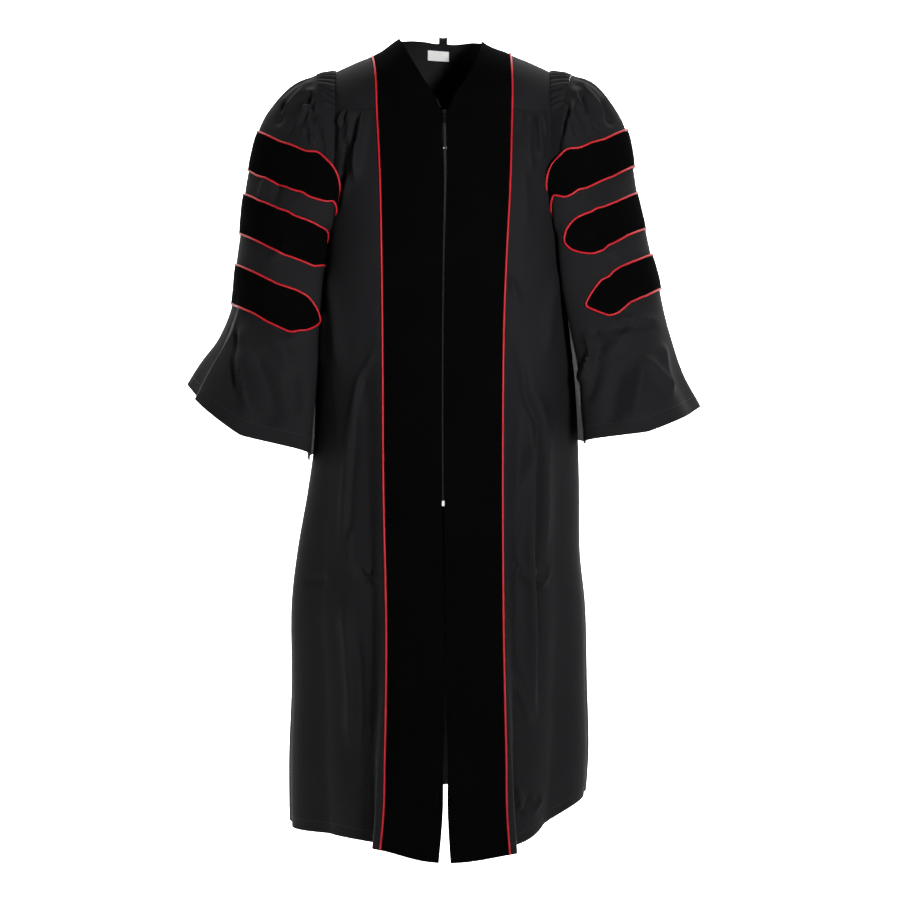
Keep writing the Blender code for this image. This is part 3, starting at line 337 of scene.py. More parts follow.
def facingPlace(side, share, rowShare, high):
    # angle and height where a share across a facing lies; high is NaN below the armpit
    share, rowShare, high = np.broadcast_arrays(share, rowShare, high)
    above = ~np.isnan(high)
    height = np.where(above, high, rowHeight(rowShare, 0.0))
    for _ in range(3):
        lean, reach = readTable(facing, "lean", height), readTable(facing, "reach", height)
        gap = readTable(facing, "gap", height)
        angle = angleAt(lean + side * (gap + (reach - gap) * share), height)
        height = np.where(above, high, rowHeight(rowShare, angle))
    return angle, height


def panelRows(top, above, below):
    # rows of a panel as shares of the skirt and fixed heights, NaN where the other counts
    heights = np.concatenate([np.linspace(top, bodyShape["armpit"], above), np.full(below, np.nan)])
    shares = np.concatenate([np.zeros(above), np.linspace(0, 1, below + 1)[1:]])
    return shares[:, None], heights[:, None]


def meshFrom(name, points, faces, material, uv=None):
    data = bpy.data.meshes.new(name)
    data.from_pydata(np.asarray(points).reshape(-1, 3).tolist(), [], [list(f) for f in faces])
    data.validate()
    if uv is not None:
        layer = data.uv_layers.new(name="cloth")
        corners = np.zeros(len(data.loops), np.int32)
        data.loops.foreach_get("vertex_index", corners)
        layer.data.foreach_set("uv", np.asarray(uv, np.float32).reshape(-1, 2)[corners].ravel())
    data.shade_smooth()
    data.set_sharp_from_angle(angle=math.radians(50.0))
    data.materials.append(material)
    item = bpy.data.objects.new(name, data)
    bpy.context.scene.collection.objects.link(item)
    return item


def gridNormals(points, ring=False):
    along = np.gradient(points, axis=1)
    if ring:
        along = (np.roll(points, -1, 1) - np.roll(points, 1, 1)) / 2.0
    normal = np.cross(along, np.gradient(points, axis=0))
    return normal / np.maximum(np.linalg.norm(normal, axis=-1, keepdims=True), 1e-12)


def arcs(points, ring=False):
    # how far along the cloth each point lies, across and down, in metres
    across = np.linalg.norm(np.diff(points, axis=1), axis=-1)
    down = np.linalg.norm(np.diff(points, axis=0), axis=-1)
    u = np.concatenate([np.zeros((points.shape[0], 1)), np.cumsum(across, 1)], 1)
    v = np.concatenate([np.zeros((1, points.shape[1])), np.cumsum(down, 0)], 0)
    return u, v


def makeWall(name, points, wall, material, centre, ring=False, sheet=None, keep=None):
    # a grid of cloth made into a closed shell: centre is a point inside each row
    rows, columns = points.shape[:2]
    normals = gridNormals(points, ring)
    if np.mean(np.sum(normals * (points - centre), -1)) < 0:
        normals = -normals
        turned = True
    else:
        turned = False
    wall = np.broadcast_to(np.asarray(wall, float), (rows, columns))[..., None]
    under = points - normals * wall
    u, v = arcs(points)
    index = np.arange(rows * columns).reshape(rows, columns)
    nextColumn = np.roll(index, -1, 1) if ring else None
    a, b = index[:-1, :-1], index[:-1, 1:]
    c, d = index[1:, 1:], index[1:, :-1]
    if ring:
        a, b = index[:-1], nextColumn[:-1]
        c, d = nextColumn[1:], index[1:]
    quads = np.stack([a, b, c, d], -1).reshape(-1, 4)
    if not turned:
        quads = quads[:, ::-1]
    # winding: cross of along and down points out where not turned
    quads = quads[:, ::-1]
    if keep is not None:
        quads = quads[keep.reshape(-1)]
    size = rows * columns
    sides = np.concatenate([np.stack([quads[:, k], quads[:, (k + 1) % 4]], 1) for k in range(4)])
    code = sides[:, 0].astype(np.int64) * size + sides[:, 1]
    back = sides[:, 1].astype(np.int64) * size + sides[:, 0]
    rim = sides[~np.isin(code, back)]
    rimFaces = np.stack([rim[:, 1], rim[:, 0], rim[:, 0] + size, rim[:, 1] + size], 1)
    faces = np.concatenate([quads, quads[:, ::-1] + size, rimFaces])
    allPoints = np.concatenate([points.reshape(-1, 3), under.reshape(-1, 3)])
    uv = np.tile(np.stack([u, v], -1).reshape(-1, 2), (2, 1))
    item = meshFrom(name, allPoints, faces.tolist(), material, uv)
    area = float(np.sum([p.area for p in item.data.polygons])) / 2.0
    print(name, "cut", round(float(u[:, -1].max()), 3), "by", round(float(v[-1].max()), 3),
          "area", round(area, 3), "faces", len(faces))
    if sheet:
        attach(item, "gown")
    return item


def cordMesh(name, path, radius, material, around=12, closed=False, wobble=0.0, seed=0):
    # a round cord with soft unevenness along it
    path = np.asarray(path)
    count = len(path)
    run = (np.roll(path, -1, 0) - np.roll(path, 1, 0)) if closed else np.gradient(path, axis=0)
    run /= np.linalg.norm(run, axis=1, keepdims=True)
    up = np.zeros_like(path)
    up[0] = np.cross(run[0], (0.31, 0.2, 0.93))
    up[0] /= np.linalg.norm(up[0])
    for k in range(1, count):
        up[k] = up[k - 1] - run[k] * np.dot(up[k - 1], run[k])
        up[k] /= np.linalg.norm(up[k])
    if closed:
        twist = math.atan2(np.dot(np.cross(up[-1], up[0]), run[0]), np.dot(up[-1], up[0]))
        for k in range(count):
            t = twist * k / count
            up[k] = up[k] * math.cos(t) + np.cross(run[k], up[k]) * math.sin(t)
    aside = np.cross(run, up)
    spin = np.random.default_rng(seed)
    knots = spin.normal(size=max(count // 3, 4))
    uneven = 1.0 + wobble * np.interp(np.linspace(0, len(knots) - 1, count), np.arange(len(knots)), knots)
    if closed:
        uneven[-3:] = uneven[-3:] * np.array([0.7, 0.4, 0.1]) + uneven[0] * np.array([0.3, 0.6, 0.9])
    turns = np.arange(around) * 2.0 * math.pi / around
    ring = (up[:, None] * np.cos(turns)[None, :, None] + aside[:, None] * np.sin(turns)[None, :, None])
    points = path[:, None] + ring * radius * uneven[:, None, None]
    index = np.arange(count * around).reshape(count, around)
    low = index if closed else index[:-1]
    high = np.roll(index, -1, 0) if closed else index[1:]
    quads = np.stack([low, np.roll(low, -1, 1), np.roll(high, -1, 1), high], -1).reshape(-1, 4)
    faces = quads.tolist()
    if not closed:
        faces += [index[0][::-1].tolist(), index[-1].tolist()]
    length = np.concatenate([[0.0], np.cumsum(np.linalg.norm(np.diff(path, axis=0), axis=1))])
    uv = np.stack(np.broadcast_arrays(turns[None] * radius, length[:, None]), -1).reshape(-1, 2)
    item = meshFrom(name, points, faces, material, uv)
    return item


# body panels
panel = {"tuck": 0.0016, "hemDeep": 0.022, "hemWall": 0.0019, "frontColumns": 88, "frontTop": 66, "frontSkirt": 170,
         "backColumns": 256, "backTop": 44, "backSkirt": 128}


def hemWall(points, deep, wall, thick):
    # the turned hem is two layers thick
    length = np.linalg.norm(np.diff(points, axis=0), axis=-1)
    left = np.concatenate([np.cumsum(length[::-1], 0)[::-1], np.zeros((1, points.shape[1]))])
    return wall + (thick - wall) * smooth((deep - left) / 0.002)


def makeFront(word, material):
    side = sides[word]
    shares, heights = panelRows(bodyShape["yokeFront"] - seam / 2, panel["frontTop"], panel["frontSkirt"])
    start, height = facingPlace(side, 1.0 + seam / 0.1, shares, heights)
    free = np.isnan(heights)
    high = np.where(free, bodyShape["armpit"], heights)
    end = np.where(free | (high <= bodyShape["armpit"]), side * (90.0 - math.degrees(seam / 2 / 0.2)),
                   side * np.abs(angleAt(armEdge(high, "front") + panel["tuck"], high)))
    across = np.linspace(0, 1, panel["frontColumns"])[None, :] ** 1.12
    angles = start + (end - start) * across
    z = np.where(free, rowHeight(shares, angles), high)
    points = bodyPoint(angles, z)
    centre = points * (0, 0, 1)
    wall = hemWall(points, panel["hemDeep"], clothWall, panel["hemWall"])
    item = makeWall(f"front_panel_{word}", points, wall, material, centre,
                    sheet={"flat": (0.26, 1.20), "held": "hung", "rests_on": ["yoke"], "area": 0.25})
    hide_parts(f"front_{word}")
    return points


def makeBack(material):
    shares, heights = panelRows(bodyShape["yokeBack"] - seam / 2, panel["backTop"], panel["backSkirt"])
    free = np.isnan(heights)
    high = np.where(free, bodyShape["armpit"], heights)
    span = np.where(high <= bodyShape["armpit"], 90.0 - math.degrees(seam / 2 / 0.2), backSpan(high))
    turns = span * np.linspace(-1, 1, panel["backColumns"])[None, :]
    angles = np.where(turns >= 0, 180.0 - turns, -180.0 - turns)
    z = np.where(free, rowHeight(shares, angles), high)
    points = bodyPoint(angles, z)
    wall = hemWall(points, panel["hemDeep"], clothWall, panel["hemWall"])
    item = makeWall("back_panel", points, wall, material, points * (0, 0, 1),
                    sheet={"flat": (0.90, 1.16), "held": "hung", "rests_on": ["yoke"], "area": 0.82})
    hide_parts("back")
    return points


# shoulders: the velvet facings run up into them and meet at centre back
def collarPlace(side, row, part, share):
    lean = readTable(collar, "lean", row, "row")
    inner = (side * readTable(collar, "inX", row, "row") + lean, readTable(collar, "inTurn", row, "row"))
    middle = (side * readTable(collar, "outX", row, "row") + lean, readTable(collar, "outTurn", row, "row"))
    end = (side * np.interp(row, collar["row"], collar["endX"]) + 0 * lean,
           np.interp(row, collar["row"], collar["endTurn"]))
    a, b = (inner, middle) if part == "velvet" else (middle, end)
    x = a[0] + (b[0] - a[0]) * share
    turn = a[1] + (b[1] - a[1]) * share
    closed = smooth((row - 10.6) / 0.4)
    x = x * (1 - closed) + side * np.maximum(side * x, seam / 2) * closed
    return x, turn


velvetCut = {"across": 16, "skirtRows": 240, "collarRows": 100, "proud": 0.0004}


def makeVelvet(word, material):
    side = sides[word]
    share = np.linspace(0, 1, velvetCut["across"])[None, :]
    row = np.linspace(11, 0, velvetCut["collarRows"])[:, None]
    x, turn = collarPlace(side, row, "velvet", share)
    shoulder = capPoint(x, turn)
    shares, heights = panelRows(bodyShape["yokeFront"] - 0.004, 50, velvetCut["skirtRows"] - 50)
    angle, z = facingPlace(side, share, shares, heights)
    points = np.concatenate([shoulder, bodyPoint(angle, z)])
    rolled = np.exp(-((row - 5.0) / 0.9) ** 2) * (1.0 - share) ** 6      # the neck's corners are rolled over
    points[:len(row), :, 2] -= 0.0045 * rolled
    near = velvetCut["collarRows"]
    for _ in range(6):                      # eases the bend where the shoulder meets the chest
        middle = (points[near - 6:near + 4] + points[near - 4:near + 6]) / 2.0
        points[near - 5:near + 5] = points[near - 5:near + 5] * 0.5 + middle * 0.5
    centre = points * (0, 0, 1)
    centre[..., 2] = np.minimum(centre[..., 2], -0.12)
    item = makeWall(f"velvet_facing_{word}", points, velvetWall, material, centre,
                    sheet={"flat": (0.11, 1.49), "held": "hung", "rests_on": ["yoke"], "area": 0.135})
    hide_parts(f"velvet_{word}")
    return points


def makeYoke(material):
    parts = []
    for side in (-1.0, 1.0):
        row = np.linspace(0, 11, 12 * 11 + 1)[:, None]
        x0, t0 = collarPlace(side, row, "yoke", 0.0)
        x1, t1 = collarPlace(side, row, "yoke", 1.0)
        length = np.linalg.norm(capPoint(x1, t1) - capPoint(x0, t0), axis=-1)
        first = seam / length
        share = first + (1 - first) * np.linspace(0, 1, 44)[None, :]
        x, turn = collarPlace(side, row, "yoke", share)
        step = math.degrees(seam / 2 / 0.075)
        points = capPoint(x, np.clip(turn, step, 180.0 - step))
        parts.append(points if side < 0 else points[-2::-1])
    points = np.concatenate(parts)
    normal = gridNormals(points)
    x, y = points[..., 0], points[..., 1]
    soft = 0.0007 * ripple(x, y, 21, 0.021)
    inside = np.minimum(np.arange(44), np.arange(44)[::-1])[None, :] / 8.0
    points = points + np.sign(normal[..., 2:3]) * normal * (soft * smooth(inside))[..., None]
    centre = points * 0 + (0, 0, -0.2)
    item = makeWall("yoke_cloth", points, clothWall, material, centre,
                    sheet={"flat": (0.40, 0.36), "held": "stretched", "rests_on": ["sleeve_head_left"],
                           "area": 0.066})
    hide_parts("yoke")
    return points


# red cord on the seam between the velvet and the crepe
piping = {"radius": 0.0015, "around": 12, "wobble": 0.045}


def makePiping(word, material):
    side = sides[word]
    lift = piping["radius"] + seam
    row = np.linspace(11, 0.35, 150)
    x, turn = collarPlace(side, row, "velvet", 1.0)
    path = [capPoint(x, turn) + capNormal(x, turn) * lift]
    shares, heights = panelRows(bodyShape["yokeFront"] - 0.006, 90, 330)
    angle, z = facingPlace(side, np.float64(1.0), shares[:, 0], heights[:, 0])
    path.append(bodyPoint(angle, z) + bodyNormal(angle, z) * lift)
    path = np.concatenate(path)
    path[:2, 0] = side * seam
    for _ in range(3):
        path[1:-1] = path[1:-1] * 0.5 + (path[2:] + path[:-2]) * 0.25
    item = cordMesh(f"facing_cord_{word}", path, piping["radius"], material, piping["around"],
                    wobble=piping["wobble"], seed=31 if side > 0 else 32)
    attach(item, "gown")
    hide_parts(f"piping_{word}")
    return path


# sleeves: outer, front and inner point of each ring seen from the front, depth
# forward and back of the middle, and how far the front of its edge sags
ringColumns = "row outX outZ midX midZ inX inZ front back sag lap straight"
sleeveRings = {
    "left": table(
        ringColumns,
        (1, 0.208, -0.016, 0.188, -0.140, 0.1985, -0.273, 0.066, 0.070, 0, 0, 0),
        (2, 0.250, -0.037, 0.192, -0.149, 0.2000, -0.278, 0.073, 0.080, 0, 0, 0),
        (3, 0.284, -0.073, 0.196, -0.158, 0.2010, -0.283, 0.077, 0.087, 0, 0.012, 0.5),
        (4, 0.303, -0.111, 0.200, -0.170, 0.2020, -0.290, 0.080, 0.091, 0, 0.0150, 1),
        (5, 0.317, -0.168, 0.212, -0.217, 0.2030, -0.306, 0.083, 0.094, 0, 0.0205, 1),
        (6, 0.325, -0.213, 0.238, -0.252, 0.2040, -0.320, 0.086, 0.098, 0, 0.0254, 1),
        (7, 0.331, -0.273, 0.254, -0.309, 0.2055, -0.354, 0.090, 0.104, 0, 0.0318, 1),
        (8, 0.338, -0.328, 0.264, -0.363, 0.2070, -0.396, 0.095, 0.111, 0, 0.0343, 1),
        (9, 0.345, -0.389, 0.271, -0.427, 0.2090, -0.445, 0.103, 0.122, 0, 0.0356, 1),
        (10, 0.369, -0.442, 0.281, -0.480, 0.2110, -0.518, 0.117, 0.140, 0.004, 0.0387, 0.5),
        (11, 0.397, -0.480, 0.297, -0.532, 0.2160, -0.580, 0.132, 0.159, 0.012, 0.0457, 0),
        (12, 0.421, -0.521, 0.316, -0.583, 0.2200, -0.645, 0.147, 0.178, 0.024, 0.0521, 0)),
    "right": table(
        ringColumns,
        (1, 0.210, -0.0155, 0.188, -0.140, 0.1985, -0.273, 0.066, 0.070, 0, 0, 0),
        (2, 0.249, -0.033, 0.192, -0.149, 0.2000, -0.278, 0.073, 0.080, 0, 0, 0),
        (3, 0.281, -0.070, 0.196, -0.158, 0.2010, -0.283, 0.077, 0.087, 0, 0.014, 0.5),
        (4, 0.301, -0.109, 0.200, -0.168, 0.2020, -0.290, 0.080, 0.091, 0, 0.0130, 1),
        (5, 0.3115, -0.164, 0.210, -0.222, 0.2030, -0.306, 0.083, 0.094, 0, 0.0170, 1),
        (6, 0.318, -0.212, 0.238, -0.250, 0.2045, -0.320, 0.086, 0.098, 0, 0.0298, 1),
        (7, 0.331, -0.269, 0.254, -0.305, 0.2070, -0.353, 0.090, 0.104, 0, 0.0376, 1),
        (8, 0.341, -0.313, 0.265, -0.351, 0.2100, -0.391, 0.095, 0.111, 0, 0.04, 1),
        (9, 0.354, -0.365, 0.277, -0.408, 0.2155, -0.437, 0.103, 0.122, 0, 0.0381, 1),
        (10, 0.369, -0.440, 0.290, -0.475, 0.2225, -0.505, 0.117, 0.140, 0.002, 0.0338, 0.5),
        (11, 0.389, -0.506, 0.303, -0.535, 0.2255, -0.561, 0.132, 0.159, 0.006, 0.0366, 0),
        (12, 0.415, -0.560, 0.321, -0.589, 0.2300, -0.6186, 0.147, 0.178, 0.012, 0.0441, 0)),
}
sleeveCut = {"around": 288, "rows": 176, "hemDeep": 0.020, "topCells": 15, "frontAngle": 58.0,
             "backAngle": 74.0, "armRows": (-0.165, -0.205, -0.235, -0.257, -0.270),
             "lapPeak": 0.325, "backLap": 0.8, "nose": 0.0085, "flutes": 20, "fluteHeight": 0.0033, "headAround": 300, "headRows": 14}

# sleeve creases seen from the front, x outwards from the middle: path, width, height, front or back
sleeveCreases = {
    "left": [
        (((0.2135, -0.050), (0.2165, -0.062), (0.2195, -0.078)), 0.0036, -0.0085, 1),
        (((0.2075, -0.062), (0.2095, -0.078), (0.2080, -0.108)), 0.0030, -0.0040, 1),
        (((0.2110, -0.075), (0.2130, -0.105), (0.2080, -0.150)), 0.0040, 0.0040, 1),
        (((0.1880, -0.086), (0.1900, -0.104), (0.1890, -0.135)), 0.0045, -0.0095, 1),
        (((0.205, -0.040), (0.222, -0.080), (0.246, -0.118)), 0.0048, 0.0032, 1),
        (((0.200, -0.066), (0.212, -0.098), (0.232, -0.135)), 0.0045, 0.0028, 1),
        (((0.214, -0.030), (0.240, -0.062), (0.272, -0.098)), 0.0050, 0.0034, 1),
        (((0.196, -0.088), (0.204, -0.112), (0.214, -0.142)), 0.0040, 0.0024, 1),
        (((0.222, -0.078), (0.236, -0.100), (0.250, -0.128)), 0.0040, -0.0020, 1),
        (((0.232, -0.520), (0.255, -0.470), (0.290, -0.430)), 0.0100, 0.0048, 1),
        (((0.262, -0.600), (0.272, -0.540), (0.300, -0.470)), 0.0120, -0.0060, 1),
        (((0.300, -0.590), (0.312, -0.530), (0.330, -0.460)), 0.0110, 0.0070, 1),
        (((0.228, -0.580), (0.236, -0.520), (0.246, -0.470)), 0.0080, -0.0036, 1),
        (((0.246, -0.286), (0.262, -0.318), (0.285, -0.330)), 0.0065, 0.0024, 1),
        (((0.245, -0.405), (0.275, -0.415), (0.315, -0.400)), 0.0065, -0.0026, 1),
        (((0.215, -0.430), (0.235, -0.452), (0.262, -0.462)), 0.0065, 0.0026, 1),
        (((0.334, -0.425), (0.332, -0.480), (0.328, -0.560)), 0.0075, -0.0050, 1),
        (((0.318, -0.420), (0.316, -0.490), (0.310, -0.570)), 0.0090, 0.0045, 1),
        (((0.262, -0.195), (0.266, -0.215), (0.272, -0.240)), 0.0070, -0.0030, 1),
        (((0.284, -0.190), (0.290, -0.210), (0.294, -0.236)), 0.0060, 0.0028, 1),
        (((0.258, -0.060), (0.262, -0.085), (0.268, -0.110)), 0.0060, -0.0040, 1),
        (((0.210, -0.050), (0.232, -0.090), (0.252, -0.130)), 0.0050, 0.0030, -1),
        (((0.226, -0.040), (0.254, -0.074), (0.280, -0.106)), 0.0050, 0.0030, -1),
        (((0.200, -0.090), (0.212, -0.120), (0.226, -0.150)), 0.0045, 0.0026, -1),
        (((0.230, -0.470), (0.262, -0.450), (0.305, -0.440)), 0.0090, 0.0040, -1),
        (((0.262, -0.610), (0.276, -0.545), (0.300, -0.480)), 0.0130, 0.0078, -1),
        (((0.312, -0.580), (0.326, -0.520), (0.338, -0.460)), 0.0110, -0.0056, -1),
        (((0.240, -0.560), (0.248, -0.500), (0.262, -0.440)), 0.0090, -0.0040, -1),
    ],
    "right": [
        (((0.2230, -0.052), (0.2260, -0.066), (0.2330, -0.092)), 0.0032, -0.0040, 1),
        (((0.2050, -0.070), (0.1960, -0.100), (0.1850, -0.136)), 0.0034, -0.0050, 1),
        (((0.2130, -0.066), (0.2050, -0.100), (0.1950, -0.138)), 0.0040, 0.0040, 1),
        (((0.1960, -0.084), (0.1890, -0.104), (0.1830, -0.125)), 0.0034, 0.0030, 1),
        (((0.205, -0.038), (0.224, -0.076), (0.248, -0.116)), 0.0048, 0.0032, 1),
        (((0.199, -0.064), (0.211, -0.096), (0.230, -0.134)), 0.0045, 0.0028, 1),
        (((0.216, -0.028), (0.242, -0.060), (0.270, -0.094)), 0.0050, 0.0034, 1),
        (((0.195, -0.086), (0.203, -0.112), (0.213, -0.142)), 0.0040, 0.0024, 1),
        (((0.223, -0.075), (0.238, -0.098), (0.252, -0.126)), 0.0040, -0.0020, 1),
        (((0.218, -0.526), (0.228, -0.500), (0.240, -0.466)), 0.0060, 0.0040, 1),
        (((0.226, -0.560), (0.238, -0.524), (0.250, -0.480)), 0.0070, -0.0034, 1),
        (((0.258, -0.478), (0.276, -0.462), (0.298, -0.450)), 0.0055, 0.0030, 1),
        (((0.262, -0.425), (0.305, -0.422), (0.356, -0.423)), 0.0060, 0.0030, 1),
        (((0.265, -0.436), (0.305, -0.434), (0.350, -0.436)), 0.0050, -0.0022, 1),
        (((0.350, -0.455), (0.354, -0.500), (0.362, -0.548)), 0.0080, 0.0044, 1),
        (((0.300, -0.590), (0.306, -0.540), (0.318, -0.480)), 0.0110, 0.0050, 1),
        (((0.262, -0.600), (0.270, -0.545), (0.284, -0.490)), 0.0100, -0.0042, 1),
        (((0.248, -0.284), (0.266, -0.312), (0.288, -0.322)), 0.0065, 0.0022, 1),
        (((0.262, -0.447), (0.282, -0.452), (0.302, -0.436)), 0.0045, 0.0034, 1),
        (((0.224, -0.440), (0.234, -0.470), (0.226, -0.512)), 0.0050, 0.0040, 1),
        (((0.236, -0.430), (0.252, -0.462), (0.240, -0.500)), 0.0055, -0.0034, 1),
        (((0.316, -0.480), (0.342, -0.510), (0.368, -0.548)), 0.0080, 0.0050, 1),
        (((0.258, -0.058), (0.266, -0.085), (0.276, -0.110)), 0.0060, -0.0040, 1),
        (((0.210, -0.050), (0.232, -0.090), (0.252, -0.128)), 0.0050, 0.0030, -1),
        (((0.228, -0.038), (0.252, -0.070), (0.278, -0.104)), 0.0050, 0.0030, -1),
        (((0.200, -0.092), (0.212, -0.122), (0.226, -0.152)), 0.0045, 0.0026, -1),
        (((0.232, -0.474), (0.262, -0.456), (0.305, -0.446)), 0.0090, 0.0040, -1),
        (((0.258, -0.600), (0.272, -0.540), (0.292, -0.470)), 0.0130, 0.0076, -1),
        (((0.316, -0.590), (0.328, -0.530), (0.342, -0.465)), 0.0110, -0.0058, -1),
        (((0.348, -0.560), (0.352, -0.510), (0.356, -0.460)), 0.0080, 0.0040, -1),
    ],
}


def armholeAt(side, place):
    # the armhole by sleeve column: 0 back yoke corner, 15 front one, 21 armpit
    turns = [180.0, 156.0, 134.0, 112.0, 90.0, 68.0, 48.0, 30.0, 14.0, 0.0]
    step = math.degrees(seam / 2 / 0.075)
    dense = np.clip(np.interp(np.linspace(0, 9, 361), range(10), turns), step, 180.0 - step)
    top = capPoint(np.full(361, side * bodyShape["yokeHalf"]), dense)
    run = np.concatenate([[0.0], np.cumsum(np.linalg.norm(np.diff(top, axis=0), axis=1))])
    cells = sleeveCut["topCells"]
    along = np.clip(place / cells, 0, 1) * run[-1]
    topPoint = np.stack([np.interp(along, run, top[:, k]) for k in range(3)], -1)
    armRows = list(sleeveCut["armRows"])
    zFront = np.interp(place, [15, 16, 17, 18, 19, 20, 21], [bodyShape["yokeFront"], -0.125] + armRows)
    frontPoint = bodyPoint(angleAt(side * armEdge(zFront, "front"), zFront), zFront)
    zBack = np.interp(place, [21, 22, 23, 24, 25, 26],
                      [armRows[4], armRows[3], armRows[2], armRows[1], armRows[0], bodyShape["yokeBack"]])
    zBack = np.maximum(zBack, bodyShape["armpit"] + 1e-5)
    backPoint = bodyPoint(angleAt(side * armEdge(zBack, "back"), zBack, "back"), zBack)
    place = place[..., None]
    return np.where(place <= 15, topPoint, np.where(place <= 21, frontPoint, backPoint))


def ringAngle(place):
    # the sleeve's angle by column: 0 is its outer line, 90 its front
    front, back = sleeveCut["frontAngle"], sleeveCut["backAngle"]
    armRows = np.array(sleeveCut["armRows"])
    fall = (180.0 - front) / (bodyShape["yokeFront"] - bodyShape["armpit"])
    climb = (180.0 - back) / (bodyShape["yokeBack"] - bodyShape["armpit"])
    down = front + (bodyShape["yokeFront"] - np.concatenate([[-0.125], armRows])) * fall
    up = 180.0 + (armRows[3::-1] - bodyShape["armpit"]) * climb
    columns = [0, 15, 16, 17, 18, 19, 20, 21, 22, 23, 24, 25, 26]
    return np.interp(place, columns, [-back, front, *down, *up, 360.0 - back])


def ringPoint(word, row, angle):
    side, rings = sides[word], sleeveRings[word]
    c, s = np.cos(np.radians(angle)), np.sin(np.radians(angle))
    weights = (c * (c + 1.0) / 2.0, 1.0 - c * c, c * (c - 1.0) / 2.0)
    read = {name: readTable(rings, name, row, "row") for name in ringColumns.split()[1:]}
    x = weights[0] * read["outX"] + weights[1] * read["midX"] + weights[2] * read["inX"]
    z = weights[0] * read["outZ"] + weights[1] * read["midZ"] + weights[2] * read["inZ"]
    line = read["outZ"] + (x - read["outX"]) * (read["midZ"] - read["outZ"]) / (read["midX"] - read["outX"])
    z = z + (line - z) * read["straight"] * smooth(c / 0.3)
    lap = np.maximum(s, 0.0) ** 3 + sleeveCut["backLap"] * np.maximum(-s, 0.0) ** 3
    x = x - read["lap"] * lap * np.maximum(-c, 0.0) / sleeveCut["lapPeak"]
    x = x - sleeveCut["nose"] * np.exp(-((row - 3.4) / 0.8) ** 2 - ((angle - 102.0) / 26.0) ** 2)
    deep = np.where(s > 0, read["front"], read["back"])
    y = -deep * np.sign(s) * np.abs(s) ** 0.88
    z = z - read["sag"] * np.maximum(s, 0.0) ** 1.5
    return np.stack([side * x, y, z], -1)


def plainSleeve(word, row, place):
    place = np.mod(place, 26.0)
    row, place = np.broadcast_arrays(row, place)
    ring = ringPoint(word, np.maximum(row, 1.0), ringAngle(place))
    edge = armholeAt(sides[word], place)
    share = np.clip(row, 0.0, 1.0)[..., None]
    return edge + (ring - edge) * share


def sleevePoint(word, row, place):
    row, place = np.broadcast_arrays(np.asarray(row, float), np.asarray(place, float))
    point = plainSleeve(word, row, place)
    normal = normalOf(lambda a, b: plainSleeve(word, a, b), row, place, 0.05, 0.05)
    if sides[word] > 0:
        normal = -normal
    angle = ringAngle(np.mod(place, 26.0))
    s = np.sin(np.radians(angle))
    x, z = np.abs(point[..., 0]), point[..., 2]
    out = np.zeros(row.shape)
    for face in (1, -1):
        chosen = [c[:3] for c in sleeveCreases[word] if c[3] == face]
        out += 1.75 * creaseField(x, z, chosen) * smooth(face * s / 0.35)
    out += 0.0014 * ripple(z + place * 0.004, x, 40 if sides[word] > 0 else 44, 0.024)
    bell = smooth((row - 9.2) / 2.8)
    turn = np.radians(angle)
    uneven = 0.6 + 0.4 * np.sin(2 * turn + (1.0 if sides[word] > 0 else 2.2))
    out += bell * 0.0050 * uneven * np.sin(7.0 * turn + 0.8 * np.sin(3.0 * turn))
    if word == "left":       # the bell's outer half drops back behind a sharp fold
        turned = np.where(angle > 180.0, angle - 360.0, angle)
        tucked = smooth((row - 8.4) / 2.6) * smooth((42.0 - turned) / 9.0) * smooth((turned + 90.0) / 90.0)
        point = point + np.stack([0 * tucked, 0.062 * tucked, 0 * tucked], -1)
    gather = smooth((3.4 - row) / 2.2) * smooth((row - 0.9) / 0.5)
    out += gather * 0.0016 * np.sin(np.mod(place, 26.0) / 15.0 * 19.0 * math.pi + 0.8)
    out *= smooth((row - 1.0) / 0.6)
    return point + normal * out[..., None]


def sleeveNormal(word, row, place):
    normal = normalOf(lambda a, b: sleevePoint(word, a, b), np.asarray(row, float),
                      np.asarray(place, float), 0.04, 0.06)
    return normal if sides[word] < 0 else -normal


def makeSleeve(word, material):
    rows = np.concatenate([np.linspace(0, 1, 16)[:-1], np.linspace(1, 12, sleeveCut["rows"] - 15)])[:, None]
    place = (np.arange(sleeveCut["around"]) * 26.0 / sleeveCut["around"])[None, :]
    points = sleevePoint(word, rows, place)
    edge = points[0]
    step = points[1] - points[0]
    points[0] = edge + step / np.linalg.norm(step, axis=-1, keepdims=True) * seam
    cells = np.broadcast_to(place + 13.0 / sleeveCut["around"] < sleeveCut["topCells"], (len(rows) - 1, sleeveCut["around"]))
    keep = ~(cells & (rows[:-1] < 1.0 - 1e-6))
    wall = hemWall(points, sleeveCut["hemDeep"], clothWall, 0.0019)
    centre = points.mean(axis=1, keepdims=True)
    item = makeWall(f"sleeve_cloth_{word}", points, wall, material, centre, ring=True, keep=keep,
                    sheet={"flat": (0.90, 0.64), "held": "gathered", "rests_on": [f"sleeve_head_{word}"],
                           "area": 0.36})
    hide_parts(f"sleeve_{word}")
    return points


